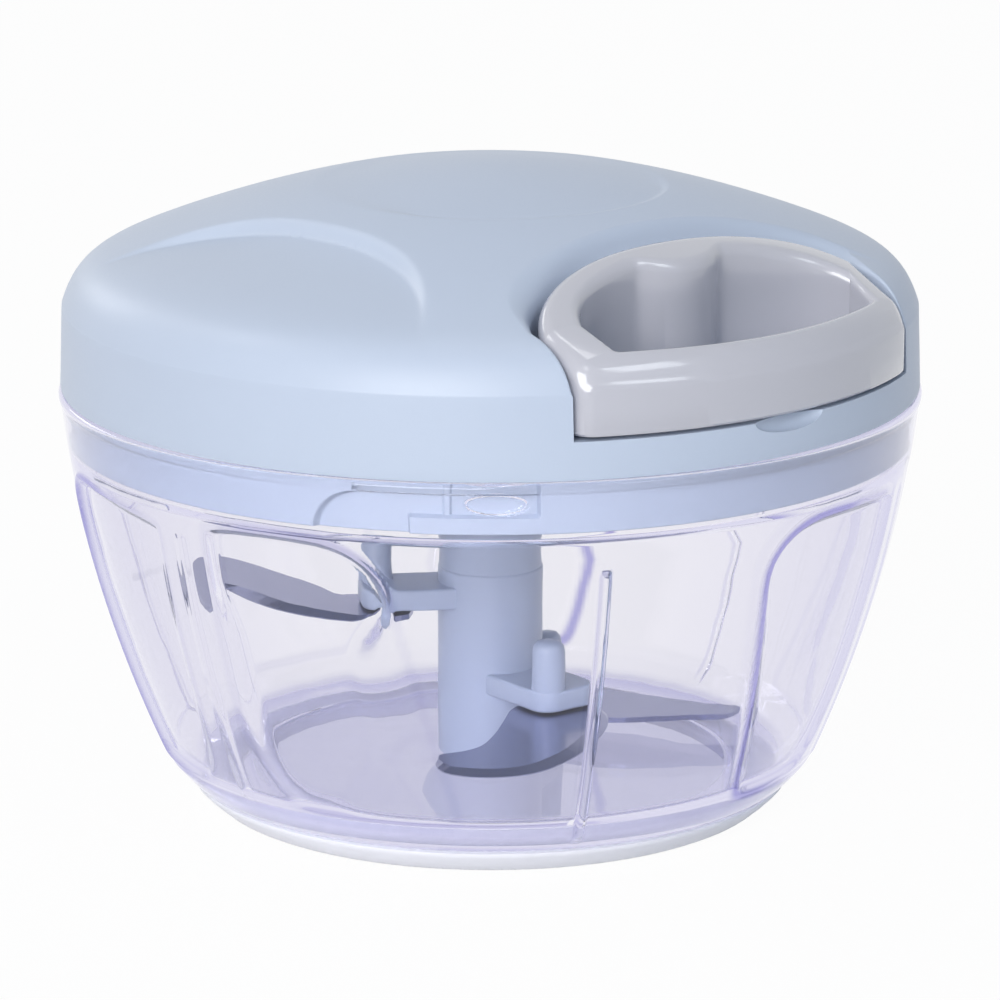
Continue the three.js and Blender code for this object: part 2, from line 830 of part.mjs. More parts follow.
function makeLidCover() {
  const outer = domeSolid(0, lidBottom, domeShares, lidSteps, true);
  const cavityBottom = lidBottom - cutOverrun;
  const cavity = domeSolid(lidWall, cavityBottom, innerShares, lidSteps, true);
  const turn = radians(handleAzimuth);
  const pocketBox = solid(
    prism(pocketShape(pocketClearance + pocketWall), pocketFloor - pocketWall, lidTop).rotateZ(turn),
  );
  const pocketCut = solid(
    prism(pocketShape(pocketClearance), pocketFloor, lidTop + cutOverrun).rotateZ(turn),
  );
  const postBottom = plateTop + seatGap;
  const posts = screwPlaces().map((place) => {
    return cylinder(postRadius, postBottom, lidTop, smallSteps, place.x, place.y);
  });
  const bores = screwPlaces().map((place) => {
    const bore = screwShankRadius + seatGap;
    return cylinder(bore, postBottom - seatGap, screwTop + postBoreRoom, tinySteps, place.x, place.y);
  });
  const postFoot = springCupBottom + 2 * seatGap;
  const centrePost = cylinder(centrePostRadius, postFoot, lidTop, smallSteps);
  const axleTop = reelBottom + axleLength;
  const axleBore = cylinder(axleRadius + seatGap, postFoot - seatGap, axleTop + seatGap, smallSteps);
  const eyeletHole = solid(
    barAlong(eyeletTubeRadius + seatGap, pocketFace - cutOverrun, pocketFace + pocketClearance / 2,
      cordHeight, tinySteps).rotateZ(turn),
  );
  const room = cutAll(cavity, [pocketBox, centrePost, ...posts]);
  const lowPosts = posts.map((post) => post.intersect(cavity));
  const shell = joinAll([outer.subtract(room), ...lowPosts]);
  return geometryOf(cutAll(shell, [pocketCut, axleBore, eyeletHole, gripDish(), ...bores]));
}

// Handle

// Places round the ring, each with the point of the outline and the point of the finger opening
function handleStations() {
  const leftHalf = handleHalfWidth - handleWalls.left;
  const rightHalf = handleHalfWidth - handleWalls.right;
  const openingOuter = handleOuter - handleFrontWall;
  const openingBow = openingBowShare * lidRadius;
  const stations = [];
  for (let i = 0; i <= handleInnerSteps; i += 1) {
    const share = -Math.cos((Math.PI * i) / handleInnerSteps);
    const outside = share * handleHalfWidth;
    const openingHalf = share < 0 ? leftHalf : rightHalf;
    const inside = share * openingHalf;
    const curve = innerCurve(handleInner + openingWall, openingHalf, openingBow, inside);
    const bossDepth = Math.max(knotBossRadius ** 2 - (inside - knotBossShift) ** 2, 0);
    const boss = handleInner - knotBossInset + Math.sqrt(bossDepth);
    stations.push([
      along(innerCurve(handleInner, handleHalfWidth, handleBow(outside), outside), outside, 0),
      along(Math.max(curve, boss), inside, 0),
    ]);
  }
  const outerAngle = Math.asin(handleHalfWidth / handleOuter);
  const leftAngle = -Math.asin((leftHalf - openingCorners.left) / openingOuter);
  const rightAngle = Math.asin((rightHalf - openingCorners.right) / openingOuter);
  for (let i = 0; i <= handleArcSteps; i += 1) {
    const share = i / handleArcSteps;
    const outside = outerAngle * (1 - 2 * share);
    const inside = rightAngle + share * (leftAngle - rightAngle);
    stations.push([
      along(handleOuter * Math.cos(outside), handleOuter * Math.sin(outside), 0),
      along(openingOuter * Math.cos(inside), openingOuter * Math.sin(inside), 0),
    ]);
  }
  return stations;
}

function makeHandle() {
  const topAt = (point) => domeHeight(Math.hypot(point.x, point.y), handleShoulderDrop) - handleDrop;
  const middle = handleRound * (1 - Math.SQRT1_2);
  const rings = handleStations().map(([outside, inside]) => {
    const inward = inside.clone().sub(outside);
    const width = inward.length();
    inward.normalize();
    const at = (distance, below) => {
      const point = outside.clone().addScaledVector(inward, distance);
      point.z = topAt(point) - below;
      return point;
    };
    const foot = (point) => point.clone().setZ(handleBottom);
    return [
      foot(outside),
      at(0, handleRound),
      at(middle, middle),
      at(handleRound, 0),
      at(width - handleRound, 0),
      at(width - middle, middle),
      at(width, handleRound),
      foot(inside),
    ];
  });
  const body = solid(skin(rings, true));
  const knotTop = cordHeight + knotPocketRise;
  const knotPocket = cylinder(
    knotPocketRadius, handleBottom - cutOverrun, knotTop, smallSteps, 0, -knotPocketCentre,
  );
  const cordHole = solid(
    barAlong(cordHoleRadius, handleInner - cutOverrun, knotPocketCentre, cordHeight, tinySteps),
  );
  return geometryOf(cutAll(body, [knotPocket, cordHole]));
}

// Lid base

function skirtPatch(startAt, end, bottom, top, innerRadius, outerRadius, azimuth) {
  const surface = (radius) => (row, column) => {
    const height = bottom + row * (top - bottom);
    const start = startAt(height);
    return onAzimuth(radius, azimuth + start + column * (end - start), height);
  };
  return solid(slab(levelShares.concat(1), patchColumns, surface(innerRadius), surface(outerRadius)));
}

function bayonetChannel(azimuth) {
  const outer = skirtRadius + cutOverrun;
  const inner = skirtRadius - channelDepth;
  const low = skirtBottom - seatGap;
  const archAt = (height) => {
    const rise = Math.min((height - low) / (channelTop - low), 1);
    return channelStart + channelArch * (1 - Math.sqrt(1 - rise * rise));
  };
  const cornerAt = (height) => {
    const rise = Math.max(height - (tabTop - tabCornerDegrees / 2), 0) / (tabCornerDegrees / 2);
    return tabStart + tabCornerDegrees * Math.min(rise, 1);
  };
  const path = skirtPatch(archAt, channelStop, low, channelTop, inner, outer, azimuth);
  const tab = skirtPatch(
    cornerAt, channelStop + tabCornerDegrees, low - seatGap, tabTop, inner - seatGap,
    outer + seatGap, azimuth,
  );
  const detentStart = detentAzimuth - detentDegrees / 2;
  const detent = skirtPatch(
    () => detentStart, detentStart + detentDegrees, tabTop - seatGap, channelTop + seatGap,
    inner - seatGap, inner + detentHeight, azimuth,
  );
  return cutAll(path, [tab, detent]);
}

function makeLidBase() {
  const skirt = tube(skirtRadius - skirtWall, skirtRadius, skirtBottom, skirtTop, bowlSteps);
  const plate = cylinder(skirtRadius - skirtWall / 2, plateTop - plateThickness, plateTop, bowlSteps);
  const collar = cylinder(collarRadius, skirtBottom, plateTop, roundSteps);
  const bushOuter = hubShaftRadius + seatGap + bushWall;
  const bore = cylinder(
    bushOuter + seatGap, skirtBottom - cutOverrun, plateTop + cutOverrun, roundSteps,
  );
  const screwHoles = screwPlaces().map((place) => {
    const radius = screwShankRadius + seatGap;
    const low = plateTop - plateThickness - cutOverrun;
    return cylinder(radius, low, plateTop + cutOverrun, tinySteps, place.x, place.y);
  });
  const channels = repeated(patternCount, (turn) => bayonetChannel(turn));
  return geometryOf(cutAll(joinAll([skirt, plate, collar]), [bore, ...screwHoles, ...channels]));
}

// A screw whose head hangs below its shank
function screwGeometry(headRadius, headHeight, shankRadius, length, top, steps) {
  const seat = top - length;
  return geometryOf(revolved([
    [0, seat - headHeight],
    [headRadius - screwRound, seat - headHeight],
    [headRadius, seat - headHeight + screwRound],
    [headRadius, seat],
    [shankRadius, seat],
    [shankRadius, top - shankRadius],
    [0, top],
  ], steps));
}

// Reel, spring, axle and clutch

function makeReel() {
  const bore = axleRadius + seatGap;
  const body = revolved([
    [bore, reelBottom],
    [reelFlangeRadius, reelBottom],
    [reelFlangeRadius, reelBottom + reelFlange],
    [reelDrumRadius, reelBottom + reelFlange],
    [reelDrumRadius, reelUpperFlange],
    [reelFlangeRadius, reelUpperFlange],
    [reelFlangeRadius, reelTop],
    [springCoverRadius + seatGap, reelTop],
    [springCoverRadius + seatGap, springCoverBottom - seatGap],
    [springCupRadius, springCoverBottom - seatGap],
    [springCupRadius, springCupBottom],
    [bore, springCupBottom],
  ], roundSteps);
  const pins = repeated(pawlCount, (turn) => {
    const place = onAzimuth(pawlCircle, turn, 0);
    const low = reelBottom - seatGap - pawlThickness;
    return cylinder(pawlPinRadius, low, reelBottom + reelFlange / 2, tinySteps, place.x, place.y);
  });
  return geometryOf(joinAll([body, ...pins]));
}

function makeSpringCover() {
  const top = springCoverBottom + springCoverThickness;
  return geometryOf(tube(springCoverHole, springCoverRadius, springCoverBottom, top, roundSteps));
}

function springPoints() {
  const first = centrePostRadius + seatGap + springStrip / 2;
  const last = springCupRadius - seatGap - springStrip / 2;
  const count = springTurns * springSteps;
  const points = [];
  for (let i = 0; i <= count; i += 1) {
    const share = i / count;
    points.push(onAzimuth(first + share * (last - first), share * springTurns * 360, 0));
  }
  return points;
}

function makeSpring() {
  const middle = (springCupBottom + springCoverBottom) / 2;
  const low = middle - springHeight / 2;
  const high = middle + springHeight / 2;
  return sweep(springPoints(), (point) => {
    const radius = Math.hypot(point.x, point.y);
    const inner = point.clone().multiplyScalar((radius - springStrip / 2) / radius);
    const outer = point.clone().multiplyScalar((radius + springStrip / 2) / radius);
    return [inner.clone().setZ(low), outer.clone().setZ(low), outer.clone().setZ(high), inner.setZ(high)];
  });
}

function makeAxle() {
  const top = reelBottom + axleLength;
  return geometryOf(revolved([
    [axleBoreRadius, reelBottom],
    [axleRadius, reelBottom],
    [axleRadius, top],
    [0, top],
    [0, reelBottom + axleBoreDepth],
    [axleBoreRadius, reelBottom + axleBoreDepth],
  ], smallSteps));
}

function makeWasher() {
  const top = reelBottom - seatGap;
  return geometryOf(tube(reelScrewRadius + seatGap, washerRadius, top - washerThickness, top, smallSteps));
}

function makeReelScrew() {
  const seat = reelBottom - 2 * seatGap - washerThickness;
  return screwGeometry(
    reelScrewHeadRadius, reelScrewHead, reelScrewRadius, reelScrewLength, seat + reelScrewLength,
    smallSteps,
  );
}

function makePawl() {
  const shape = new THREE.Shape();
  const lean = Math.asin((pawlHubRadius - pawlTipRadius) / pawlLength);
  const side = Math.PI / 2 + lean;
  shape.absarc(0, 0, pawlHubRadius, side, 2 * Math.PI - side, false);
  shape.absarc(pawlLength, 0, pawlTipRadius, -side + 2 * lean, side - 2 * lean, false);
  const hole = new THREE.Path();
  hole.absarc(0, 0, pawlPinRadius + seatGap, 0, 2 * Math.PI, true);
  shape.holes.push(hole);
  const geometry = new THREE.ExtrudeGeometry(shape, {
    depth: pawlThickness, bevelEnabled: false, curveSegments: tinySteps / 2,
  });
  return geometryOf(solid(geometry));
}

// The ratchet's sawteeth, set so that one tooth's face meets the pawl's tip
function ratchetShape() {
  const tipAngle = pawlTipAngle() + THREE.MathUtils.radToDeg((pawlTipRadius + seatGap) / toothTipRadius);
  const points = [];
  for (let i = 0; i < toothCount; i += 1) {
    const start = tipAngle + (i * 360) / toothCount;
    for (let j = 0; j < toothSteps; j += 1) {
      const share = j / (toothSteps - 1);
      const radius = toothTipRadius + share * (toothRootRadius - toothTipRadius);
      const place = onAzimuth(radius, start + (share * (360 - toothCount)) / toothCount, 0);
      points.push(new THREE.Vector2(place.x, place.y));
    }
  }
  return new THREE.Shape(points);
}

function pawlTipAngle() {
  return THREE.MathUtils.radToDeg(Math.atan2(pawlAcross, pawlReach));
}

function spigotShape(radius) {
  const points = repeated(spigotSides, (turn) => {
    const place = onAzimuth(radius, turn, 0);
    return new THREE.Vector2(place.x, place.y);
  });
  return new THREE.Shape(points);
}

function makeDriveHub() {
  const cup = cylinder(toothRootRadius + cupWall, hubBottom, cupTop, roundSteps);
  const teeth = solid(prism(ratchetShape(), hubBottom + cupFloor, cupTop + cutOverrun));
  const shaft = cylinder(hubShaftRadius, hubShaftBottom, hubBottom + cupFloor / 2, roundSteps);
  const spigot = solid(prism(spigotShape(spigotRadius), spigotBottom, hubShaftBottom + cupFloor));
  return geometryOf(joinAll([cup.subtract(teeth), shaft, spigot]));
}

function makeHubBush() {
  const inner = hubShaftRadius + seatGap;
  const outer = inner + bushWall;
  return geometryOf(revolved([
    [inner, skirtBottom],
    [outer, skirtBottom],
    [outer, plateTop + seatGap],
    [bushFlangeRadius, plateTop + seatGap],
    [bushFlangeRadius, bushTop],
    [inner, bushTop],
  ], roundSteps));
}

// Cord

function cordExitAngle() {
  const bend = pocketFace - pocketWall - 2 * cordRadius - seatGap;
  return { bend, angle: Math.acos(windingRadius / bend) };
}

// The cord leaves the drum along a tangent and runs to the eyelet, seen with the pull along -Y
function cordExit() {
  const { bend, angle } = cordExitAngle();
  const leave = along(windingRadius * Math.cos(angle), -windingRadius * Math.sin(angle), cordHeight);
  const heading = along(bend, 0, cordHeight).sub(leave).normalize();
  return { leave, heading, bend };
}

function windingPoints() {
  const { angle } = cordExitAngle();
  const { leave, heading } = cordExit();
  const count = cordTurns * cordSteps;
  const points = [];
  for (let i = 0; i <= count; i += 1) {
    const share = i / count;
    const turn = -angle - (1 - share) * cordTurns * 2 * Math.PI;
    const height = firstTurn + share * (cordHeight - firstTurn);
    points.push(along(windingRadius * Math.cos(turn), windingRadius * Math.sin(turn), height));
  }
  points.push(leave.clone().addScaledVector(heading, 2 * cordRadius));
  return points;
}

function makeWinding() {
  return cordThrough(windingPoints(), cordRadius, cordSides);
}

function makeLead() {
  const { leave, heading, bend } = cordExit();
  const start = leave.clone().addScaledVector(heading, 2 * cordRadius + seatGap);
  return cordThrough([
    start,
    along(bend, 0, cordHeight).addScaledVector(heading, -cordRadius),
    along(bend + cordRadius, 0, cordHeight),
    along(pocketFace, 0, cordHeight),
  ], cordRadius, cordSides);
}

// The knot in the handle's boss, with the short end that reaches the handle's inner wall
function makeKnot() {
  const ball = new THREE.SphereGeometry(knotRadius, tinySteps, tinySteps / 2);
  ball.translate(0, -knotPocketCentre, cordHeight);
  const tailEnd = handleInner - pocketClearance / 2;
  const tail = barAlong(cordRadius, tailEnd, knotPocketCentre, cordHeight, cordSides);
  return geometryOf(solid(ball).add(solid(tail)));
}

function makeEyelet() {
  const flangeStart = pocketFace - pocketWall - seatGap - eyeletFlange;
  const flangeEnd = flangeStart + eyeletFlange;
  const flange = solid(barAlong(
    eyeletTubeRadius + eyeletFlange, flangeStart, flangeEnd, cordHeight, smallSteps,
  ));
  const barrel = solid(barAlong(eyeletTubeRadius, flangeStart, pocketFace, cordHeight, smallSteps));
  const hole = solid(barAlong(
    cordHoleRadius, flangeStart - cutOverrun, pocketFace + cutOverrun, cordHeight, tinySteps,
  ));
  return geometryOf(flange.add(barrel).subtract(hole));
}

// Blade shaft with its arms

function armShape() {
  const corner = armReach - armCorner;
  const shape = new THREE.Shape();
  shape.moveTo(-armHalfWidth, 0);
  shape.lineTo(armHalfWidth, 0);
  shape.lineTo(armHalfWidth, -corner);
  shape.absarc(armHalfWidth - armCorner, -corner, armCorner, 0, -Math.PI / 2, true);
  shape.absarc(armCorner - armHalfWidth, -corner, armCorner, -Math.PI / 2, -Math.PI, true);
  shape.closePath();
  return shape;
}

function arm({ azimuth, armTop, postHeight }) {
  const armBottom = armTop - armThickness;
  const tongue = new THREE.ExtrudeGeometry(armShape(), {
    depth: armThickness, bevelEnabled: false, curveSegments: toothSteps,
  }).translate(0, 0, armBottom);
  const postTop = armTop + postHeight;
  const post = revolve([
    [0, armTop - armThickness / 2],
    [armPostRadius, armTop - armThickness / 2],
    [armPostRadius - armPostDraft, postTop - armPostRound],
    [armPostRadius - armPostDraft - armPostRound, postTop],
    [0, postTop],
  ], smallSteps);
  const lag = radians(armPostLag);
  post.translate(armPostCircle * Math.sin(lag), -armPostCircle * Math.cos(lag), 0);
  const bladeBottom = armBottom - seatGap - bladeThickness;
  const headTop = bladeBottom - seatGap;
  const stud = revolve([
    [0, headTop - studHeadHeight],
    [studHeadRadius - studHeadHeight / 2, headTop - studHeadHeight],
    [studHeadRadius, headTop - studHeadHeight / 2],
    [studHeadRadius, headTop],
    [studRadius, headTop],
    [studRadius, armBottom + armThickness / 2],
    [0, armBottom + armThickness / 2],
  ], tinySteps).translate(0, -studPlace, 0);
  return joinAll([tongue, post, stud].map((piece) => solid(piece.rotateZ(radians(azimuth)))));
}

function makeBladeShaft() {
  const column = revolved([
    [0, shaftBottom],
    [shaftRadius, shaftBottom],
    [shaftRadius, shaftStep],
    [neckRadius, shaftStep + shaftRadius - neckRadius],
    [neckRadius, shaftTop],
    [0, shaftTop],
  ], roundSteps);
  const foot = cylinder(shaftFootRadius, shaftBottom - cutOverrun, shaftBottom + shaftFootDepth, roundSteps);
  const pinBore = cylinder(pinRadius + seatGap, shaftBottom, pinTop + seatGap, smallSteps);
  const socket = solid(prism(
    spigotShape(spigotRadius + spigotClearance), spigotBottom - seatGap, shaftTop + cutOverrun,
  ));
  const arms = Object.values(blades).map((blade) => arm(blade));
  return geometryOf(cutAll(joinAll([column, ...arms]), [foot, pinBore, socket]));
}

// A blade's outline as smooth points, each with the share of the bevel that it carries
function bladeOutline({ armTop, reachShare, sweepShare, outlineShares }) {
  const room = bowlRadius(armTop - armThickness) - bowlWall;
  const reach = reachShare * room;
  const across = sweepShare * room;
  const corners = outlineShares.map(([u, v, bevel]) => new THREE.Vector3(v * across, -u * reach, bevel));
  const curve = new THREE.CatmullRomCurve3(corners, true, 'centripetal');
  return curve.getPoints(corners.length * bladeStepsPerPoint).slice(0, -1);
}

function makeBlade(blade) {
  const outline = bladeOutline(blade);
  const flat = outline.map((point) => new THREE.Vector2(point.x, point.y));
  const turn = THREE.ShapeUtils.area(flat) > 0 ? 1 : -1;
  const inset = outline.map((point, i) => {
    const before = flat[(i + flat.length - 1) % flat.length];
    const after = flat[(i + 1) % flat.length];
    const edge = after.clone().sub(before).normalize();
    const amount = turn * bladeBevel * Math.min(Math.max(point.z, 0), 1);
    return new THREE.Vector2(flat[i].x - edge.y * amount, flat[i].y + edge.x * amount);
  });
  const top = blade.armTop - armThickness - seatGap;
  const bottom = top - bladeThickness;
  const rings = [
    flat.map((point) => new THREE.Vector3(point.x, point.y, bottom)),
    flat.map((point) => new THREE.Vector3(point.x, point.y, bottom + bladeEdge)),
    inset.map((point) => new THREE.Vector3(point.x, point.y, top)),
  ];
  const count = flat.length;
  const faces = [];
  for (let i = 0; i < rings.length - 1; i += 1) {
    for (let j = 0; j < count; j += 1) {
      const next = (j + 1) % count;
      faces.push([i * count + j, i * count + next, (i + 1) * count + next]);
      faces.push([i * count + j, (i + 1) * count + next, (i + 1) * count + j]);
    }
  }
  const last = (rings.length - 1) * count;
  const outward = turn > 0;
  for (const [a, b, c] of THREE.ShapeUtils.triangulateShape(flat, [])) {
    faces.push(outward ? [a, c, b] : [a, b, c]);
    faces.push(outward ? [last + a, last + b, last + c] : [last + a, last + c, last + b]);
  }
  const plate = solid(closedGeometry(rings.flat(), faces));
  const hole = cylinder(
    studRadius + seatGap, bottom - cutOverrun, top + cutOverrun, tinySteps, 0, -studPlace,
  );
  return geometryOf(plate.subtract(hole));
}

// The least distance between turns of the cord and of the spring
function leastGap(points, thickness, stepsApart) {
  let least = Infinity;
  for (let i = 0; i < points.length; i += 1) {
    for (let j = i + stepsApart; j < points.length; j += 1) {
      least = Math.min(least, points[i].distanceTo(points[j]) - thickness);
    }
  }
  return least;
}

console.log('cord winding, least gap', leastGap(windingPoints(), 2 * cordRadius, cordSteps / 2).toFixed(2));
console.log('recoil spring, least gap', leastGap(springPoints(), springStrip, springSteps / 2).toFixed(2));

// Finishes

const finishes = {
  clear: { color: 0xe6e8f6, roughness: 0.08, metalness: 0, transparent: true, opacity: 0.35 },
  paleRubber: { color: 0xeeeff3, roughness: 0.7, metalness: 0 },
  lidBlue: { color: 0xbcc8dc, roughness: 0.45, metalness: 0 },
  shaftBlue: { color: 0xa9b6d0, roughness: 0.4, metalness: 0 },
  handleGrey: { color: 0xbcbcc2, roughness: 0.3, metalness: 0 },
  steel: { color: 0xa8aab4, roughness: 0.25, metalness: 1 },
  white: { color: 0xe6e6e2, roughness: 0.5, metalness: 0 },
  cord: { color: 0xd9d9d6, roughness: 0.8, metalness: 0 },
};

const chopper = new THREE.Group();

function addPiece(name, geometry, finish, parent = chopper) {
  const mesh = new THREE.Mesh(geometry, new THREE.MeshStandardMaterial(finishes[finish]));
  mesh.name = name;
  parent.add(mesh);
  return mesh;
}

// A group whose own -Y points along an azimuth
function facing(azimuth, parent = chopper) {
  const group = new THREE.Group();
  group.rotation.z = radians(azimuth);
  parent.add(group);
  return group;
}

// Bowl and base
addPiece('bowl', makeBowl(), 'clear');
addPiece('base_ring', makeBaseRing(), 'paleRubber');
addPiece('pivot_pin', makePivotPin(), 'steel');

// Lid
addPiece('lid_cover', makeLidCover(), 'lidBlue');
addPiece('lid_base', makeLidBase(), 'lidBlue');
addPiece('hub_bush', makeHubBush(), 'white');
screwPlaces().forEach((place, i) => {
  const screw = screwGeometry(
    screwHeadRadius, screwHeadHeight, screwShankRadius, screwLength, screwTop, tinySteps,
  );
  addPiece(`lid_screw_${i + 1}`, screw, 'steel').position.set(place.x, place.y, 0);
});

// Reel on its axle
addPiece('reel_axle', makeAxle(), 'steel');
addPiece('reel_washer', makeWasher(), 'steel');
addPiece('reel_screw', makeReelScrew(), 'steel');
addPiece('cord_reel', makeReel(), 'white');
addPiece('recoil_spring', makeSpring(), 'steel');
addPiece('spring_cover', makeSpringCover(), 'white');
repeated(pawlCount, (turn, i) => {
  const pawl = addPiece(`pawl_${i + 1}`, makePawl(), 'white', facing(turn));
  pawl.position.set(0, -pawlCircle, reelBottom - seatGap - pawlThickness);
  pawl.rotation.z = radians(pawlTilt - 90);
});
addPiece('drive_hub', makeDriveHub(), 'white');

// Handle and cord, in the frame of the pull
const pull = facing(handleAzimuth);
addPiece('handle', makeHandle(), 'handleGrey', pull);
addPiece('cord_eyelet', makeEyelet(), 'steel', pull);
addPiece('cord_winding', makeWinding(), 'cord', pull);
addPiece('cord_lead', makeLead(), 'cord', pull);
addPiece('cord_knot', makeKnot(), 'cord', pull);

// Blade shaft and blades
addPiece('blade_shaft', makeBladeShaft(), 'shaftBlue');
for (const [level, blade] of Object.entries(blades)) {
  addPiece(`blade_${level}`, makeBlade(blade), 'steel', facing(blade.azimuth));
}

export default chopper;
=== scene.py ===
import math

import bpy
import numpy as np
from mathutils import Matrix, Vector


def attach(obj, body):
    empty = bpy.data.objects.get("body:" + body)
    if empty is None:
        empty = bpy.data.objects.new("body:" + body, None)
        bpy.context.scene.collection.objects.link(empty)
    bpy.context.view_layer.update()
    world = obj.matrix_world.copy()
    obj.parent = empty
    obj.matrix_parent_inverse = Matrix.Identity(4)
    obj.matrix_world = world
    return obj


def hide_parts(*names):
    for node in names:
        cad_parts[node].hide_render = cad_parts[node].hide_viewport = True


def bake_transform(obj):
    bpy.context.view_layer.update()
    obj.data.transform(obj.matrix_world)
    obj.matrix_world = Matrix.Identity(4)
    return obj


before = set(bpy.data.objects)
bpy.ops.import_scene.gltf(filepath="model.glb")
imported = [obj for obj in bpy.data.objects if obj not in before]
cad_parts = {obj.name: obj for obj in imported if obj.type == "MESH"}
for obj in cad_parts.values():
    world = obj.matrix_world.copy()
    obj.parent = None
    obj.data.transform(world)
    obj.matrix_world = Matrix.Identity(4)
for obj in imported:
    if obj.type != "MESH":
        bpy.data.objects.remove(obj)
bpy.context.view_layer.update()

# Sizes are in millimetres and azimuths in degrees from -Y towards +X, as in the solids
RIM_R, RIM_Z = 62.65, 61.8
KINK_R, KINK_Z = 48.3, 8.4
FOOT_R, FOOT_Z = 44.4, 4.0
UPPER_CURVE, LOWER_CURVE = (1.62, 0.62), (1.35, 0.35)
WALL, LEDGE_Z = 2.1, 52.65
RECESS_R, FLOOR_LOW, FLOOR_TOP = 35.6, 3.0, 5.4
LEAF_AZ, LEAF_DEPTH, LEAF_LIFT = -45.0, 0.9, 0.3
VEIN_RISE, RIB_RISE, RIB_HALF = 0.18, 0.9, 0.8
RIB_AZ, LUG_AZ, LUG_Z, LUG_DEPTH = 15.0, 0.75, 58.8, 0.75
# Share of painted lavender refraction line along the bowl's foot
FOOT_PAINTED_LINE = 0.25
LID_R, LID_DRAFT, LID_TOP, LID_LOW, LID_WALL = 62.1, 0.4, 94.4, 62.1, 2.2
DOME_DROP, DOME_POWER, SHOULDER_DROP, SHOULDER_POWER = 15.8, 1.75, 4.6, 37
DISH_AZ, DISH_DEPTH = -45, 1.8
PLATEAU, PLATEAU_DEPTH = 0.419, 0.42
PULL_AZ = 41.0
HANDLE_IN, HANDLE_OUT, HANDLE_HALF, HANDLE_LOW = 0.55885 * LID_R, LID_R + 0.5, 0.4976 * LID_R, 68.1
HANDLE_SHOULDER, HANDLE_DIP, HANDLE_CORNER = 2.3, 0.2, 3.2
BAR_FRONT, BAR_LEFT, BAR_RIGHT, BAR_BACK = 3.7, 6.4, 4.8, 4.5
BOSS_R, BOSS_IN, BOSS_SHIFT = 10.8, 3.2, 0.8
BOW_POWER, BOWS, OPENING_BOW = 2.8, (0.138 * LID_R, 0.073 * LID_R), 0.087 * LID_R
POCKET_GAP, POCKET_WALL, POCKET_FLOOR = 0.8, 2.0, 67.5
SCREW_REACH, SCREW_BORE, SCREW_POST = 48.0, 1.6, 3.4
SKIRT_R, SKIRT_LOW, SKIRT_TOP, SKIRT_WALL = 59.9, 54.4, 63.4, 2.5
PLATE_TOP, PLATE_LOW = 60.0, 58
BUSH_SEAT, BUSH_RIM = 9.0, 11.4
ARMS = ((38, 19.7, 7.2), (-82, 32.1, 4.0), (158, 12.8, 7.2))  # azimuth, top and height of post
ARM_THICK, ARM_HALF, ARM_REACH, ARM_CORNER = 3.1, 5.2, 19.3, 3.0
POST_REACH, POST_TURN, STUD_REACH = 16.9, 8, 15.5
SHAFT_LOW, SHAFT_TOP, SOCKET_R, SOCKET_LOW = 6.3, 53.8, 5.4, 40.8
CORD_Z, CORD_R, DRUM_R, DRUM_LOW, TURNS = 77.2, 0.9, 19.2, 70.3, 3


def smooth(a, b, x):
    t = np.clip((np.asarray(x, float) - a) / (b - a), 0, 1)
    return t * t * (3 - 2 * t)


def on_azimuth(r, az, z):
    a = np.radians(az)
    return np.stack(np.broadcast_arrays(r * np.sin(a), -r * np.cos(a), z), -1)


def from_nearest_third(az, first):
    """Azimuths from the nearest of three places 120 degrees apart."""
    return (az - first + 60) % 120 - 60


# Mesh helpers, in millimetres until finished
def mesh_object(name, points, faces):
    me = bpy.data.meshes.new(name)
    me.from_pydata(np.asarray(points, float).reshape(-1, 3).tolist(), [], faces)
    me.update()
    ob = bpy.data.objects.new(name, me)
    bpy.context.scene.collection.objects.link(ob)
    return ob


def skin(name, rings, looped=False):
    """A mesh from rings of points: closed round each ring, and looped or capped along them."""
    rings = np.asarray(rings, float)
    n, m = rings.shape[:2]
    faces = []
    for i in range(n if looped else n - 1):
        low, high = i * m, ((i + 1) % n) * m
        for j in range(m):
            k = (j + 1) % m
            faces.append((low + j, low + k, high + k, high + j))
    if not looped:
        faces.append(tuple(range(m))[::-1])
        faces.append(tuple((n - 1) * m + j for j in range(m)))
    ob = mesh_object(name, rings, faces)
    volume = sum(p.center.dot(p.normal) * p.area for p in ob.data.polygons)
    if volume < 0:
        ob.data.flip_normals()
    return ob


def lathe(name, profile, steps, looped=False):
    az = np.arange(steps) * 360 / steps
    return skin(name, [on_azimuth(r, az, z) for r, z in profile], looped)


def prism(name, outline, low, high):
    outline = np.asarray(outline, float)
    rings = [np.column_stack([outline, np.full(len(outline), z)]) for z in (low, high)]
    return skin(name, rings)


def rod(name, radius, low, high, steps, x=0.0, y=0.0):
    a = np.arange(steps) * 2 * math.pi / steps
    return prism(name, np.column_stack([x + radius * np.cos(a), y + radius * np.sin(a)]), low, high)


def rod_along(name, radius, start, end, z, steps):
    """A rod along the pull's direction, before it is turned there."""
    a = np.arange(steps) * 2 * math.pi / steps
    return skin(name, [np.column_stack([radius * np.cos(a), np.full(steps, -u), z + radius * np.sin(a)])
                       for u in (start, end)])


def turn(ob, az):
    ob.data.transform(Matrix.Rotation(math.radians(az), 4, "Z"))
    return ob


def apply_modifier(ob):
    """Gives the object the mesh that its one modifier makes, and takes the modifier off."""
    graph = bpy.context.evaluated_depsgraph_get()
    me = bpy.data.meshes.new_from_object(ob.evaluated_get(graph))
    ob.modifiers.clear()
    old, ob.data = ob.data, me
    bpy.data.meshes.remove(old)


def combine(ob, tool, operation):
    mod = ob.modifiers.new("cut", "BOOLEAN")
    mod.operation, mod.object, mod.solver = operation, tool, "EXACT"
    apply_modifier(ob)
    bpy.data.objects.remove(tool)


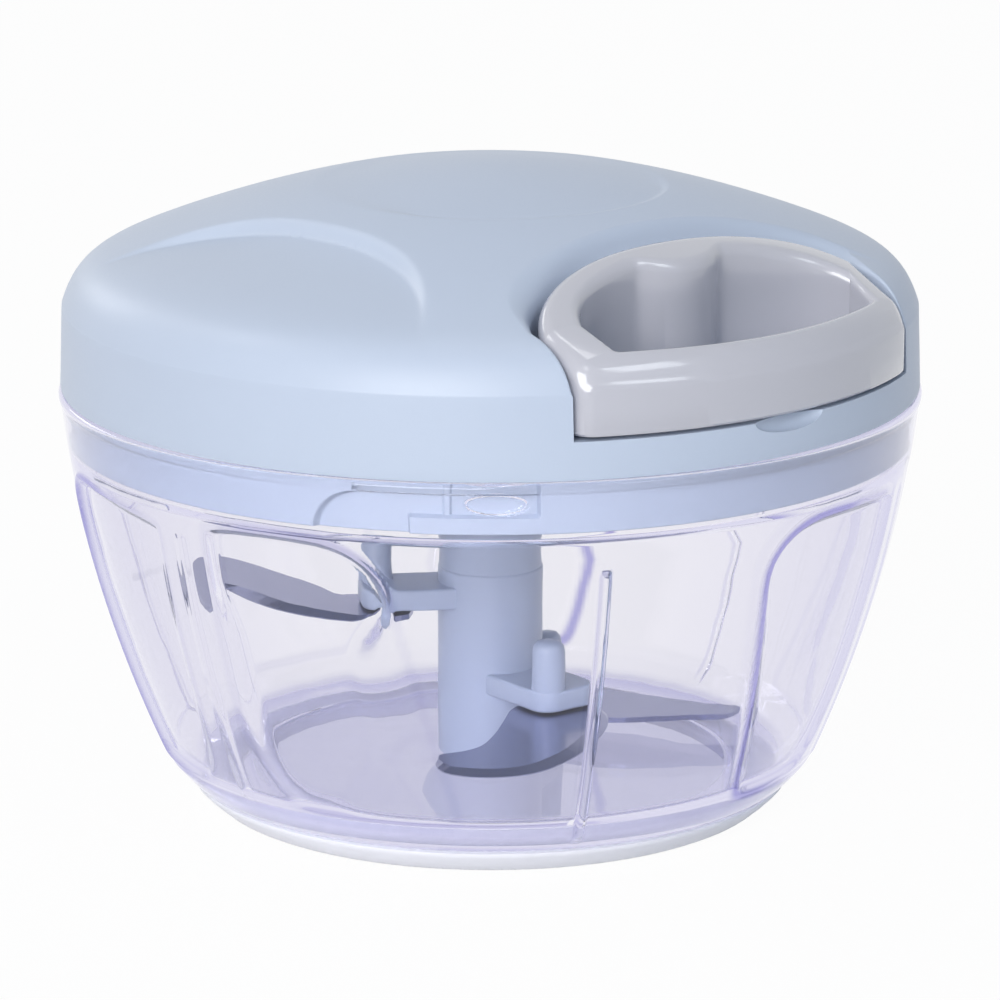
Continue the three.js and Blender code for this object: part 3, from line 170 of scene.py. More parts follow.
def round_edges(ob, width, angle, segments):
    mod = ob.modifiers.new("round", "BEVEL")
    mod.width, mod.segments, mod.limit_method = width, segments, "ANGLE"
    mod.angle_limit = math.radians(angle)
    mod.use_clamp_overlap = True
    apply_modifier(ob)


def finish_piece(ob, body, nodes, mat, sharp):
    """Turns the piece to metres, shades it, and hands it to its body."""
    ob.data.transform(Matrix.Scale(0.001, 4))
    ob.data.shade_smooth()
    if sharp:
        ob.data.set_sharp_from_angle(angle=math.radians(sharp))
    ob.data.materials.clear()
    ob.data.materials.append(mat)
    if body:
        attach(ob, body)
    if nodes:
        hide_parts(*nodes)


def spline(points, per_piece, closed=False):
    """A smooth line of points through the given ones."""
    p = np.asarray(points, float)
    if closed:
        q = np.vstack([p[-1], p, p[0], p[1]])
    else:
        q = np.vstack([2 * p[0] - p[1], p, 2 * p[-1] - p[-2]])
    out = []
    for i in range(1, len(q) - 2):
        a, b, c, d = q[i - 1:i + 3]
        for t in np.arange(per_piece) / per_piece:
            out.append(0.5 * (2 * b + (c - a) * t + (2 * a - 5 * b + 4 * c - d) * t ** 2
                              + (3 * b - a - 3 * c + d) * t ** 3))
    if not closed:
        out.append(p[-1])
    return np.array(out)


def tube(name, path, radius, sides, looped=False):
    p = np.asarray(path, float)
    if looped:
        tangent = np.roll(p, -1, 0) - np.roll(p, 1, 0)
    else:
        tangent = np.gradient(p, axis=0)
    tangent /= np.linalg.norm(tangent, axis=1)[:, None]
    normal = np.cross(tangent[0], (0, 0, 1.0))
    if np.linalg.norm(normal) < 0.01:
        normal = np.cross(tangent[0], (0, 1.0, 0))
    rings = []
    for point, t in zip(p, tangent):
        normal = normal - t * normal.dot(t)
        normal /= np.linalg.norm(normal)
        other = np.cross(t, normal)
        a = (np.arange(sides) * 2 * math.pi / sides)[:, None]
        rings.append(point + radius * (np.cos(a) * normal + np.sin(a) * other))
    return skin(name, rings, looped)


# Material helpers
def srgb(r, g, b):
    def linear(v):
        v /= 255
        return v / 12.92 if v <= 0.04045 else ((v + 0.055) / 1.055) ** 2.4
    return (linear(r), linear(g), linear(b), 1.0)


def new_material(name):
    mat = bpy.data.materials.new(name)
    mat.use_nodes = True
    nt = mat.node_tree
    nt.nodes.clear()
    out = nt.nodes.new("ShaderNodeOutputMaterial")
    shader = nt.nodes.new("ShaderNodeBsdfPrincipled")
    nt.links.new(shader.outputs["BSDF"], out.inputs["Surface"])
    return mat, nt, shader, out


def noise(nt, scale, detail=2.0, roughness=0.5, vector=None):
    if vector is None:
        vector = nt.nodes.new("ShaderNodeTexCoord").outputs["Object"]
    n = nt.nodes.new("ShaderNodeTexNoise")
    n.inputs["Scale"].default_value = scale
    n.inputs["Detail"].default_value = detail
    n.inputs["Roughness"].default_value = roughness
    nt.links.new(vector, n.inputs["Vector"])
    return n.outputs["Fac"]


def spread(nt, value, low, high, to_low, to_high):
    m = nt.nodes.new("ShaderNodeMapRange")
    for key, v in zip(("From Min", "From Max", "To Min", "To Max"), (low, high, to_low, to_high)):
        m.inputs[key].default_value = v
    nt.links.new(value, m.inputs["Value"])
    return m.outputs["Result"]


def math_node(nt, operation, first, second):
    m = nt.nodes.new("ShaderNodeMath")
    m.operation = operation
    for socket, value in zip(m.inputs, (first, second)):
        if isinstance(value, (int, float)):
            socket.default_value = value
        else:
            nt.links.new(value, socket)
    return m.outputs[0]


def blend_colours(nt, value, first, second):
    """A mix of two colours, of which the first may be another node's output."""
    m = nt.nodes.new("ShaderNodeMix")
    m.data_type = "RGBA"
    a, b = [socket for socket in m.inputs if socket.type == "RGBA"]
    if isinstance(first, tuple):
        a.default_value = first
    else:
        nt.links.new(first, a)
    b.default_value = second
    nt.links.new(value, m.inputs["Factor"])
    return [socket for socket in m.outputs if socket.type == "RGBA"][0]


def mix_shaders(nt, value, first, second):
    m = nt.nodes.new("ShaderNodeMixShader")
    nt.links.new(value, m.inputs["Fac"])
    nt.links.new(first, m.inputs[1])
    nt.links.new(second, m.inputs[2])
    return m.outputs["Shader"]


def bump(nt, shader, height, strength, distance):
    b = nt.nodes.new("ShaderNodeBump")
    b.inputs["Strength"].default_value = strength
    b.inputs["Distance"].default_value = distance
    nt.links.new(height, b.inputs["Height"])
    nt.links.new(b.outputs["Normal"], shader.inputs["Normal"])


def plastic(name, colour, rough, grain, depth, vary, coat=0.0):
    """Moulded plastic: faint flow marks in the colour, and a fine moulded grain."""
    mat, nt, shader, _ = new_material(name)
    flow = noise(nt, 28, 3)
    low = tuple(max(c * (1 - vary), 0) for c in colour[:3]) + (1,)
    high = tuple(min(c * (1 + vary), 1) for c in colour[:3]) + (1,)
    nt.links.new(blend_colours(nt, spread(nt, flow, 0.3, 0.7, 0, 1), low, high), shader.inputs["Base Color"])
    fine = noise(nt, grain, 2)
    nt.links.new(spread(nt, fine, 0.3, 0.7, rough - 0.04, rough + 0.04), shader.inputs["Roughness"])
    bump(nt, shader, fine, depth, 0.0002)
    shader.inputs["Specular IOR Level"].default_value = 0.5
    shader.inputs["Coat Weight"].default_value = coat
    shader.inputs["Coat Roughness"].default_value = 0.08
    return mat


def steel(name, colour, rough, streak, stretch):
    """Rolled steel: fine streaks one way, and slight waviness."""
    mat, nt, shader, _ = new_material(name)
    mapping = nt.nodes.new("ShaderNodeMapping")
    mapping.inputs["Scale"].default_value = stretch
    nt.links.new(nt.nodes.new("ShaderNodeTexCoord").outputs["Object"], mapping.inputs["Vector"])
    lines = noise(nt, streak, 4, 0.6, mapping.outputs["Vector"])
    low = tuple(c * 0.94 for c in colour[:3]) + (1,)
    streaks = blend_colours(nt, spread(nt, lines, 0.3, 0.7, 0, 1), low, colour)
    nt.links.new(streaks, shader.inputs["Base Color"])
    nt.links.new(spread(nt, lines, 0.3, 0.7, rough - 0.03, rough + 0.06), shader.inputs["Roughness"])
    bump(nt, shader, lines, 0.02, 0.00005)
    shader.inputs["Metallic"].default_value = 1.0
    return mat


# Of the clear plastic: its tint where it faces the viewer and where it is seen on edge, the painted lavender
# refraction lines at the relief's edges and the thick base's tint, which is partly its own colour and partly
# painted shade, then the painted glow that rays deep inside it end on, and the tints of its shadow and of its
# body
FACING, GRAZING = (0.95, 0.945, 0.97, 1), (0.72, 0.71, 0.85, 1)
PAINTED_REFRACTION_TINT, BASE_TINT_AND_SHADE = (0.20, 0.185, 0.57, 1), (0.55, 0.555, 0.725, 1)
PAINTED_DEEP_GLOW, SHADOW_TINT, BODY_TINT = (0.80, 0.795, 0.915, 1), (0.93, 0.935, 0.97, 1), (0.66, 0.645, 0.86, 1)
BASE_RISE, BASE_REACH, SEAT_Z, SEAT_ROOM = (0.0058, 0.0076), (0.0425, 0.0440), 0.004, 0.0005  # in metres


def thick_base(nt):
    """1 inside the bowl's thick base, and 0 in its wall and on the face that the base ring sits on."""
    place_of = nt.nodes.new("ShaderNodeSeparateXYZ")
    nt.links.new(nt.nodes.new("ShaderNodeTexCoord").outputs["Object"], place_of.inputs["Vector"])
    flat = nt.nodes.new("ShaderNodeCombineXYZ")
    nt.links.new(place_of.outputs["X"], flat.inputs["X"])
    nt.links.new(place_of.outputs["Y"], flat.inputs["Y"])
    reach = nt.nodes.new("ShaderNodeVectorMath")
    reach.operation = "LENGTH"
    nt.links.new(flat.outputs["Vector"], reach.inputs[0])
    low = spread(nt, place_of.outputs["Z"], *BASE_RISE, 1, 0)
    base = math_node(nt, "MULTIPLY", low, spread(nt, reach.outputs["Value"], *BASE_REACH, 1, 0))
    seat = math_node(nt, "COMPARE", place_of.outputs["Z"], SEAT_Z)
    seat.node.inputs[2].default_value = SEAT_ROOM
    return math_node(nt, "MULTIPLY", base, math_node(nt, "SUBTRACT", 1.0, seat))


def clear_plastic(name):
    """Clear moulded plastic, lavender where seen on edge, with painted lavender refraction lines at its
    relief and a thick base tinted partly by its own colour and partly by painted shade; rays deep inside it
    end on a painted glow, and it lets lamps through.
    """
    mat, nt, shader, out = new_material(name)
    shader.inputs["Transmission Weight"].default_value = 1.0
    shader.inputs["IOR"].default_value = 1.42
    weight = nt.nodes.new("ShaderNodeLayerWeight")
    weight.inputs["Blend"].default_value = 0.5
    wall = blend_colours(nt, math_node(nt, "POWER", weight.outputs["Facing"], 1.1), FACING, GRAZING)
    # Painted refraction: lavender lines at the relief's edges, in place of the tinted surroundings bent into
    # view there
    relief = nt.nodes.new("ShaderNodeAttribute")
    relief.attribute_name = "painted_refraction_line"
    wall = blend_colours(nt, relief.outputs["Fac"], wall, PAINTED_REFRACTION_TINT)
    # Painted shade: the thick base is tinted partly for the plastic's own colour and partly for the shade of
    # the ground beneath it
    nt.links.new(blend_colours(nt, thick_base(nt), wall, BASE_TINT_AND_SHADE), shader.inputs["Base Color"])
    nt.links.new(spread(nt, noise(nt, 600, 2), 0.3, 0.7, 0.0, 0.03), shader.inputs["Roughness"])
    bump(nt, shader, noise(nt, 70, 2), 0.1, 0.0006)
    # Painted glow: rays that have reflected many times inside the plastic end on a lavender glow instead of
    # going dark
    path = nt.nodes.new("ShaderNodeLightPath")
    deep = math_node(nt, "MAXIMUM", math_node(nt, "GREATER_THAN", path.outputs["Glossy Depth"], 2.5),
                     math_node(nt, "GREATER_THAN", path.outputs["Ray Depth"], 9.5))
    glow = nt.nodes.new("ShaderNodeEmission")
    glow.inputs["Color"].default_value = PAINTED_DEEP_GLOW
    inner = mix_shaders(nt, deep, shader.outputs["BSDF"], glow.outputs["Emission"])
    shade = nt.nodes.new("ShaderNodeBsdfTransparent")
    shade.inputs["Color"].default_value = SHADOW_TINT
    whole = mix_shaders(nt, path.outputs["Is Shadow Ray"], inner, shade.outputs["BSDF"])
    nt.links.new(whole, out.inputs["Surface"])
    inside = nt.nodes.new("ShaderNodeVolumeAbsorption")
    inside.inputs["Color"].default_value = BODY_TINT
    inside.inputs["Density"].default_value = 10
    nt.links.new(inside.outputs["Volume"], out.inputs["Volume"])
    return mat


def braid(name, colour):
    """Braided cord: small cells, with painted shade in their gaps."""
    mat, nt, shader, _ = new_material(name)
    cells = nt.nodes.new("ShaderNodeTexVoronoi")
    cells.inputs["Scale"].default_value = 1800
    nt.links.new(nt.nodes.new("ShaderNodeTexCoord").outputs["Object"], cells.inputs["Vector"])
    gap = cells.outputs["Distance"]
    # Painted shade: the colour darkens in the gaps between the cells
    low = tuple(c * 0.8 for c in colour[:3]) + (1,)
    nt.links.new(blend_colours(nt, spread(nt, gap, 0, 0.7, 0, 1), colour, low), shader.inputs["Base Color"])
    nt.links.new(spread(nt, gap, 0, 0.7, 0.75, 0.9), shader.inputs["Roughness"])
    bump(nt, shader, gap, 0.6, 0.0002)
    shader.inputs["Sheen Weight"].default_value = 0.3
    return mat


lid_blue = plastic("lid_blue", srgb(191, 202, 220), 0.40, 2600, 0.05, 0.012)
band_blue = plastic("band_blue", srgb(168, 179, 197), 0.4, 2200, 0.04, 0.015)
shaft_blue = plastic("shaft_blue", srgb(166, 177, 199), 0.36, 2200, 0.04, 0.02)
handle_grey = plastic("handle_grey", srgb(191, 191, 200), 0.2, 900, 0.01, 0.012, coat=0.8)
ring_white = plastic("ring_white", srgb(241, 241, 246), 0.6, 2000, 0.1, 0.01)
inner_white = plastic("inner_white", srgb(232, 232, 228), 0.45, 2000, 0.06, 0.02)
blade_steel = steel("blade_steel", srgb(146, 151, 182), 0.2, 420, (1, 1, 1))
part_steel = steel("part_steel", srgb(186, 188, 192), 0.3, 500, (1, 1, 8))
clear = clear_plastic("bowl_clear")
cord_white = braid("cord_white", srgb(226, 226, 222))


# Bowl
def wall_radius(z):
    z = np.asarray(z, float)
    t = (z - KINK_Z) / (RIM_Z - KINK_Z)
    upper = KINK_R + (RIM_R - KINK_R) * (UPPER_CURVE[0] * t - UPPER_CURVE[1] * t * t)
    s = np.clip((z - FOOT_Z) / (KINK_Z - FOOT_Z), 0, 1)
    lower = FOOT_R + (KINK_R - FOOT_R) * (LOWER_CURVE[0] * s - LOWER_CURVE[1] * s * s)
    return np.where(z >= KINK_Z, upper, lower)


# The leaves' outlines: azimuth from the vein, and height
RIGHT_LEAF = [(4.6, 50.6), (5.6, 51.9), (9, 52.5), (14, 52.8), (19, 52.75), (23, 52.35), (26.4, 51.2),
              (29, 49.3), (30.8, 46.7), (31.8, 43.5), (33.1, 37.5), (34.6, 31), (36.1, 24.5), (38, 17),
              (39.5, 10.8), (38.9, 9.2), (36, 8.7), (26, 8.6), (17, 8.6), (13, 8.9), (10.3, 9.9), (7.9, 11.6),
              (6.2, 14.2), (5.2, 17.4), (4.7, 22), (4.5, 30), (4.5, 42)]
LEFT_LEAF = [(-4.5, 49.2), (-5.6, 50.4), (-9, 50.9), (-15, 51.4), (-21, 51.8), (-26, 51.75), (-29.6, 51),
             (-32.4, 49.4), (-34.3, 47), (-35, 44), (-34.7, 39), (-34, 33), (-33, 26.5), (-32, 20),
             (-30.8, 13.4), (-29.5, 9.9), (-27.5, 8.8), (-22, 8.6), (-15, 8.6), (-12, 8.9), (-9.6, 9.9),
             (-7.6, 11.6), (-6.1, 14.2), (-5.2, 17.4), (-4.7, 22), (-4.5, 30), (-4.5, 42)]


def depth_inside(outline, x, z):
    """How far each point is inside a closed outline, in millimetres, and below 0 outside."""
    best = np.full(x.shape, 1e9)
    inside = np.zeros(x.shape, bool)
    for (x0, z0), (x1, z1) in zip(outline, np.roll(outline, -1, 0)):
        dx, dz = x1 - x0, z1 - z0
        t = np.clip(((x - x0) * dx + (z - z0) * dz) / (dx * dx + dz * dz + 1e-12), 0, 1)
        best = np.minimum(best, np.hypot(x - x0 - t * dx, z - z0 - t * dz))
        crosses = (z0 > z) != (z1 > z)
        inside ^= crosses & (x < x0 + (z - z0) * dx / (dz if abs(dz) > 1e-12 else 1e-12))
    return np.where(inside, best, -best)


def wall_relief(az, z):
    """How far the wall stands out or in at these places, and how much painted lavender refraction line each
    point gets.
    """
    t = from_nearest_third(az, LEAF_AZ)
    r = wall_radius(z)
    x = np.radians(t) * r
    recess, painted_line, lift = np.zeros(x.shape), np.zeros(x.shape), np.zeros(x.shape)
    top = smooth(40, 47, z)
    # How much painted refraction line each leaf's outline gets, which also sets how far the outline is lifted
    right_share = 0.16 + 0.5 * top * smooth(6, 12, t)
    left_share = 0.2 + 0.8 * smooth(-12, -24, t) + 0.2 * top * smooth(-6, -10, t)
    # Below the top the right leaf's bevel is wide at its far side, where a steep one would bend the view
    for leaf, share, bevel in ((RIGHT_LEAF, right_share, 3.2 + 8 * smooth(18, 30, t)),
                               (LEFT_LEAF, left_share, 0.9)):
        line = spline(leaf, 4, closed=True)
        edge = np.column_stack([np.radians(line[:, 0]) * wall_radius(line[:, 1]), line[:, 1]])
        depth = depth_inside(edge, x, z)
        width = 1.3 + bevel * (1 - smooth(34, 44, z))
        recess = np.maximum(recess, smooth(0, 1, depth / width))
        on_edge = np.exp(-((depth + 0.1) / 0.85) ** 4)
        painted_line = np.maximum(painted_line, share * on_edge)
        lift = np.maximum(lift, LEAF_LIFT * smooth(0.4, 1, share) * on_edge)
    vein_ends = smooth(7.6, 9.6, z) * (1 - smooth(49.0, 50.6, z))
    vein = smooth(1.6, 0.2, np.abs(x)) * VEIN_RISE * vein_ends
    from_rib = np.radians(60 - np.abs(t)) * r
    rib_ends = smooth(5.6, 7.0, z) * (1 - smooth(48.0, 49.0, z))
    rib = np.sqrt(np.clip(1 - (from_rib / RIB_HALF) ** 2, 0, 1)) * RIB_RISE * rib_ends
    rib_sides = smooth(1.0, 0.75, np.abs(from_rib)) * smooth(0.25, 0.6, np.abs(from_rib))
    # Painted lavender refraction lines: along the leaves' outlines, beside the ribs and along the foot
    edge = painted_line + 0.35 * rib_ends * rib_sides + FOOT_PAINTED_LINE * (1 - smooth(4.5, 5.1, z))
    return vein + rib + lift - LEAF_DEPTH * recess, np.minimum(edge, 1)


def bowl_columns():
    """The azimuths of the bowl's points, closer together at the ribs, veins and lugs."""
    az = list(np.arange(0, 360, 0.5))
    for k in range(3):
        az += list(RIB_AZ + 120 * k + np.arange(-1.35, 1.36, 0.15))
        az += list(LEAF_AZ + 120 * k + np.arange(-2.2, 2.21, 0.2))
        az += list(LUG_AZ + 120 * k + np.arange(-5.4, 5.41, 0.3))
    az = np.sort(np.round(np.mod(az, 360), 3))
    keep = [az[0]]
    for a in az[1:]:
        if a - keep[-1] > 0.11:
            keep.append(a)
    return np.array(keep)


def make_bowl():
    az = bowl_columns()
    rings = []
    edges = {}

    def flat(r, z):
        rings.append(on_azimuth(r, az, z))

    # Underside, from the middle out
    for r in (2, 12, 24, 34.8, 35.4, RECESS_R):
        flat(r, FLOOR_LOW if r < RECESS_R else FLOOR_LOW + 0.2)
    flat(RECESS_R, FOOT_Z - 0.2)
    flat(RECESS_R + 0.2, FOOT_Z)
    flat(40, FOOT_Z)
    for inset, rise in ((0.5, 0), (0.1, 0.1)):
        # Painted lavender refraction line along the foot's edge
        edges[len(rings)] = np.full(az.shape, FOOT_PAINTED_LINE)
        flat(FOOT_R - inset, FOOT_Z + rise)
    # Outside, with its relief
    heights = [4.4, 5, 5.7, 6.4, 7.1, 7.7, 8.1, 8.4, 8.7, 9.0, 9.4, 9.8, 10.3, 10.9, 11.6, 12.4, 13.4, 14.6]
    heights += [16] + list(np.arange(17.6, 41.5, 1.7)) + list(np.arange(42.2, 48, 0.7))
    heights += list(np.arange(48.1, 53.4, 0.3)) + [54, 55.2, 56.6, 58, 59.4, 60.3]
    for z in heights:
        relief, edges[len(rings)] = wall_relief(az, np.full(az.shape, z))
        bevel = 0.25 * math.exp(-((z - KINK_Z) / 0.45) ** 2)
        rings.append(on_azimuth(wall_radius(z) - bevel + relief, az, z))
    # Lip, and the collar that takes the lid's skirt, with its lugs
    lip = float(wall_radius(60.5)) + 0.25
    room = SKIRT_R + 0.4
    for r, z in ((lip - 0.2, 60.42), (lip - 0.05, 60.55), (lip, 60.75), (lip, 61.3), (lip - 0.15, 61.65),
                 (lip - 0.45, RIM_Z), (room + 0.45, RIM_Z), (room + 0.12, 61.68), (room, 61.4)):
        flat(r, z)
    from_lug = from_nearest_third(az, LUG_AZ)
    for z in list(np.arange(61.0, 56.5, -0.2)) + [56, 55, 54.2]:
        x = np.radians(from_lug) * room / 4.6
        lug = smooth(1.0, 0.8, np.hypot(x, (z - LUG_Z) / 1.6)) * LUG_DEPTH
        rings.append(on_azimuth(room - lug, az, z))
    flat(room, 53.9)
    ledge = float(wall_radius(LEDGE_Z)) - WALL
    flat(room - 0.15, 53.72)
    flat(ledge + 0.1, 52.9)
    # Inside wall, floor and the boss that holds the pin
    for z in list(np.arange(52.4, 12, -2.0)) + [10.8, 9.6]:
        flat(float(wall_radius(z)) - WALL, z)
    for r, z in ((44.9, 8.4), (43.7, 7.3), (42.3, 6.3), (40.8, 5.7), (39, 5.42), (30, FLOOR_TOP),
                 (20, FLOOR_TOP), (10, FLOOR_TOP), (5.6, FLOOR_TOP), (5.0, 5.55), (4.75, 5.9), (4.45, 9.1),
                 (4.25, 9.45), (3.95, 9.6), (2.6, 9.6), (2.35, 9.5), (2.3, 9.3), (2.3, 5.55), (0.4, 5.5)):
        flat(r, z)
    shell = skin("bowl_shell", rings)
    share = np.zeros((len(rings), len(az)), np.float32)
    for ring, values in edges.items():
        share[ring] = values
    # The share of painted lavender refraction line at each point, read by the clear material
    shell.data.attributes.new("painted_refraction_line", "FLOAT", "POINT").data.foreach_set("value", share.ravel())
    finish_piece(shell, "bowl", ["bowl"], clear, 0)


def make_base_ring():
    inner = RECESS_R + 0.6
    profile = [(inner + 0.5, 0.0), (inner + 1.2, 0), (39.6, 0), (40.5, 0.12), (41.2, 0.45), (42.9, 1.9),
               (43.9, 2.9), (44.15, 3.3), (44.1, 3.6), (43.9, 3.7), (inner + 0.2, 3.7), (inner, 3.5),
               (inner, 0.5), (inner + 0.15, 0.15)]
    ring = lathe("base_foot", profile, 240, True)
    finish_piece(ring, "bowl", ["base_ring"], ring_white, 50)


# Lid
def dome(r, shoulder=SHOULDER_DROP):
    s = np.minimum(np.asarray(r, float) / LID_R, 1)
    return LID_TOP - DOME_DROP * s ** DOME_POWER - shoulder * s ** SHOULDER_POWER


def dish(r, az, centre, start, half, bow, shift=0.0):
    """Share of a dish's depth: it falls off softly at its edge and meets its floor at a crisp foot."""
    a = np.radians(az - centre)
    u, v = r * np.cos(a), r * np.sin(a) - shift
    edge = LID_R * (start + bow * np.abs(v / (half * LID_R)) ** 3)
    t = np.clip((u - edge - 0.4) / 1.65, 0, 1.2)
    slope = t ** 1.6
    foot = 1 - (1 - 0.9 ** 1.6) * np.clip((1.2 - t) / 0.3, 0, 1) ** 2.6
    return np.where(t < 0.9, slope, foot)


def lid_relief(r, az):
    """How far the top lies below the plain dome: the finger dish, the pocket's dish and the middle field."""
    fade = 1 - smooth(0.57, 0.95, r / LID_R)
    finger = dish(r, az, DISH_AZ, 0.5, 0.475, 0.16)
    pocket = dish(r, az, PULL_AZ, 0.49, 0.5475, 0.177, 4.0)
    from_crisp = np.abs((np.asarray(az) - 30 + 180) % 360 - 180)
    soft = 1.1 + 4.4 * smooth(45, 95, from_crisp)
    plateau = PLATEAU_DEPTH * (1 - smooth(0, 1, (r - PLATEAU * LID_R + soft) / soft))
    return DISH_DEPTH * fade * np.maximum(finger, pocket) + plateau


def lid_surface(r, az):
    return dome(r) - lid_relief(r, az)


def inner_curve(start, half, bow, v):
    """The back edge of the handle or its opening, v to the right of the pull's line."""
    s = np.minimum(np.abs(v) / half, 1)
    left, right = bow
    return start + np.where(np.asarray(v) < 0, left, right) * s ** BOW_POWER + 3 * s ** 12


def pocket_outline(grow, steps=64, sides=1):
    half = HANDLE_HALF + grow
    v = np.linspace(-half, half, steps)
    u = inner_curve(HANDLE_IN - grow, half, BOWS, v)
    left = [(-half, -x) for x in np.linspace(LID_R + 3, u[0], sides, endpoint=False)]
    right = [(half, -x) for x in np.linspace(LID_R + 3, u[-1], sides, endpoint=False)[::-1]]
    return np.array(left + list(zip(v, -u)) + right)


def pocket_cutter():
    """The pocket, whose edge rolls over in a curve: wide at the back and small at the sides."""
    near, wide = pocket_outline(POCKET_GAP, 160, 30), pocket_outline(POCKET_GAP + 1, 160, 30)
    back = 1 - smooth(HANDLE_IN + 2, HANDLE_IN + 13, -near[:, 1])
    radius = (0.55 + 3.1 * back)[:, None]
    rings = [np.column_stack([near, np.full(len(near), POCKET_FLOOR)])]
    for angle, past in ((0, 0), (12, 0), (24, 0), (36, 0), (48, 0), (60, 0), (72, 0), (72, 1)):
        a = math.radians(angle)
        out = radius * (1 - math.cos(a)) + past * 1.3 * math.sin(a)
        drop = radius[:, 0] * (1 - math.sin(a)) - past * 1.3 * math.cos(a)
        p = near + (wide - near) * out
        r = np.hypot(p[:, 0], p[:, 1])
        az = PULL_AZ + np.degrees(np.arctan2(p[:, 0], -p[:, 1]))
        rings.append(np.column_stack([p, lid_surface(np.minimum(r, LID_R), az) - drop]))
    rings.append(np.column_stack([rings[-1][:, :2], np.full(len(near), LID_TOP + 3)]))
    return turn(skin("pocket", rings), PULL_AZ)


def finger_notch():
    """The small hollow under the handle that a finger gets behind."""
    a = np.arange(48) * 2 * math.pi / 48
    rings = []
    for latitude in np.linspace(-88, 88, 25):
        c, s = math.cos(math.radians(latitude)), math.sin(math.radians(latitude))
        rings.append(np.column_stack([6.7 * c * np.cos(a), -LID_R - LID_DRAFT + 1.9 * c * np.sin(a),
                                      np.full(48, POCKET_FLOOR + 1.9 * s)]))
    return turn(skin("grip", rings), PULL_AZ + 0.5)


def screw_places():
    return [on_azimuth(SCREW_REACH, PULL_AZ + 45 + 90 * k, 0.0) for k in range(4)]


def make_lid_cover():
    az = np.arange(0, 360, 0.45)
    side = LID_R + LID_DRAFT
    rings = [on_azimuth(side - 0.35, az, LID_LOW), on_azimuth(side - 0.05, az, LID_LOW + 0.1),
             on_azimuth(side, az, LID_LOW + 0.45)]
    top = float(dome(LID_R))
    for z in np.linspace(LID_LOW + 2, top - 0.4, 8):
        rings.append(on_azimuth(LID_R + LID_DRAFT * (top - z) / (top - LID_LOW), az, z))
    radii = list(LID_R * (1 - np.geomspace(0.0001, 0.02, 12))) + list(np.arange(60.5, 27, -0.45))
    radii += list(np.arange(26.6, 24.4, -0.2)) + [22, 18, 14, 10, 6, 3, 1.2]
    for r in radii:
        rings.append(on_azimuth(r, az, lid_surface(r, az)))
    cover = skin("lid_shell", rings)
    # The room inside, less the pocket's walls and the posts
    az = np.arange(0, 360, 4.0)
    rings = [on_azimuth(side - LID_WALL, az, LID_LOW - 3)]
    for s in (1, 0.985, 0.96, 0.92, 0.86, 0.78, 0.7, 0.6, 0.5, 0.4, 0.25, 0.1, 0.02):
        rings.append(on_azimuth(s * (LID_R - LID_WALL), az, lid_surface(LID_R * s, az) - LID_WALL))
    room = skin("room", rings)
    box = prism("box", pocket_outline(POCKET_GAP + POCKET_WALL), POCKET_FLOOR - POCKET_WALL, LID_TOP)
    combine(room, turn(box, PULL_AZ), "DIFFERENCE")
    combine(room, rod("post", 4.4, 71.6, LID_TOP, 48), "DIFFERENCE")
    for x, y, _ in screw_places():
        combine(room, rod("post", SCREW_POST, PLATE_TOP + 0.3, LID_TOP, 32, x, y), "DIFFERENCE")
    combine(cover, room, "DIFFERENCE")
    combine(cover, pocket_cutter(), "DIFFERENCE")
    for x, y, _ in screw_places():
        combine(cover, rod("bore", SCREW_BORE, PLATE_TOP, PLATE_TOP + 11.3, 24, x, y), "DIFFERENCE")
    combine(cover, rod("bore", 2.6, 71.0, 86.3, 32), "DIFFERENCE")
    cord_hole = rod_along("bore", 2.35, HANDLE_IN - 4, HANDLE_IN - 0.4, CORD_Z, 24)
    combine(cover, turn(cord_hole, PULL_AZ), "DIFFERENCE")
    combine(cover, finger_notch(), "DIFFERENCE")
    finish_piece(cover, "lid", ["lid_cover"], lid_blue, 32)


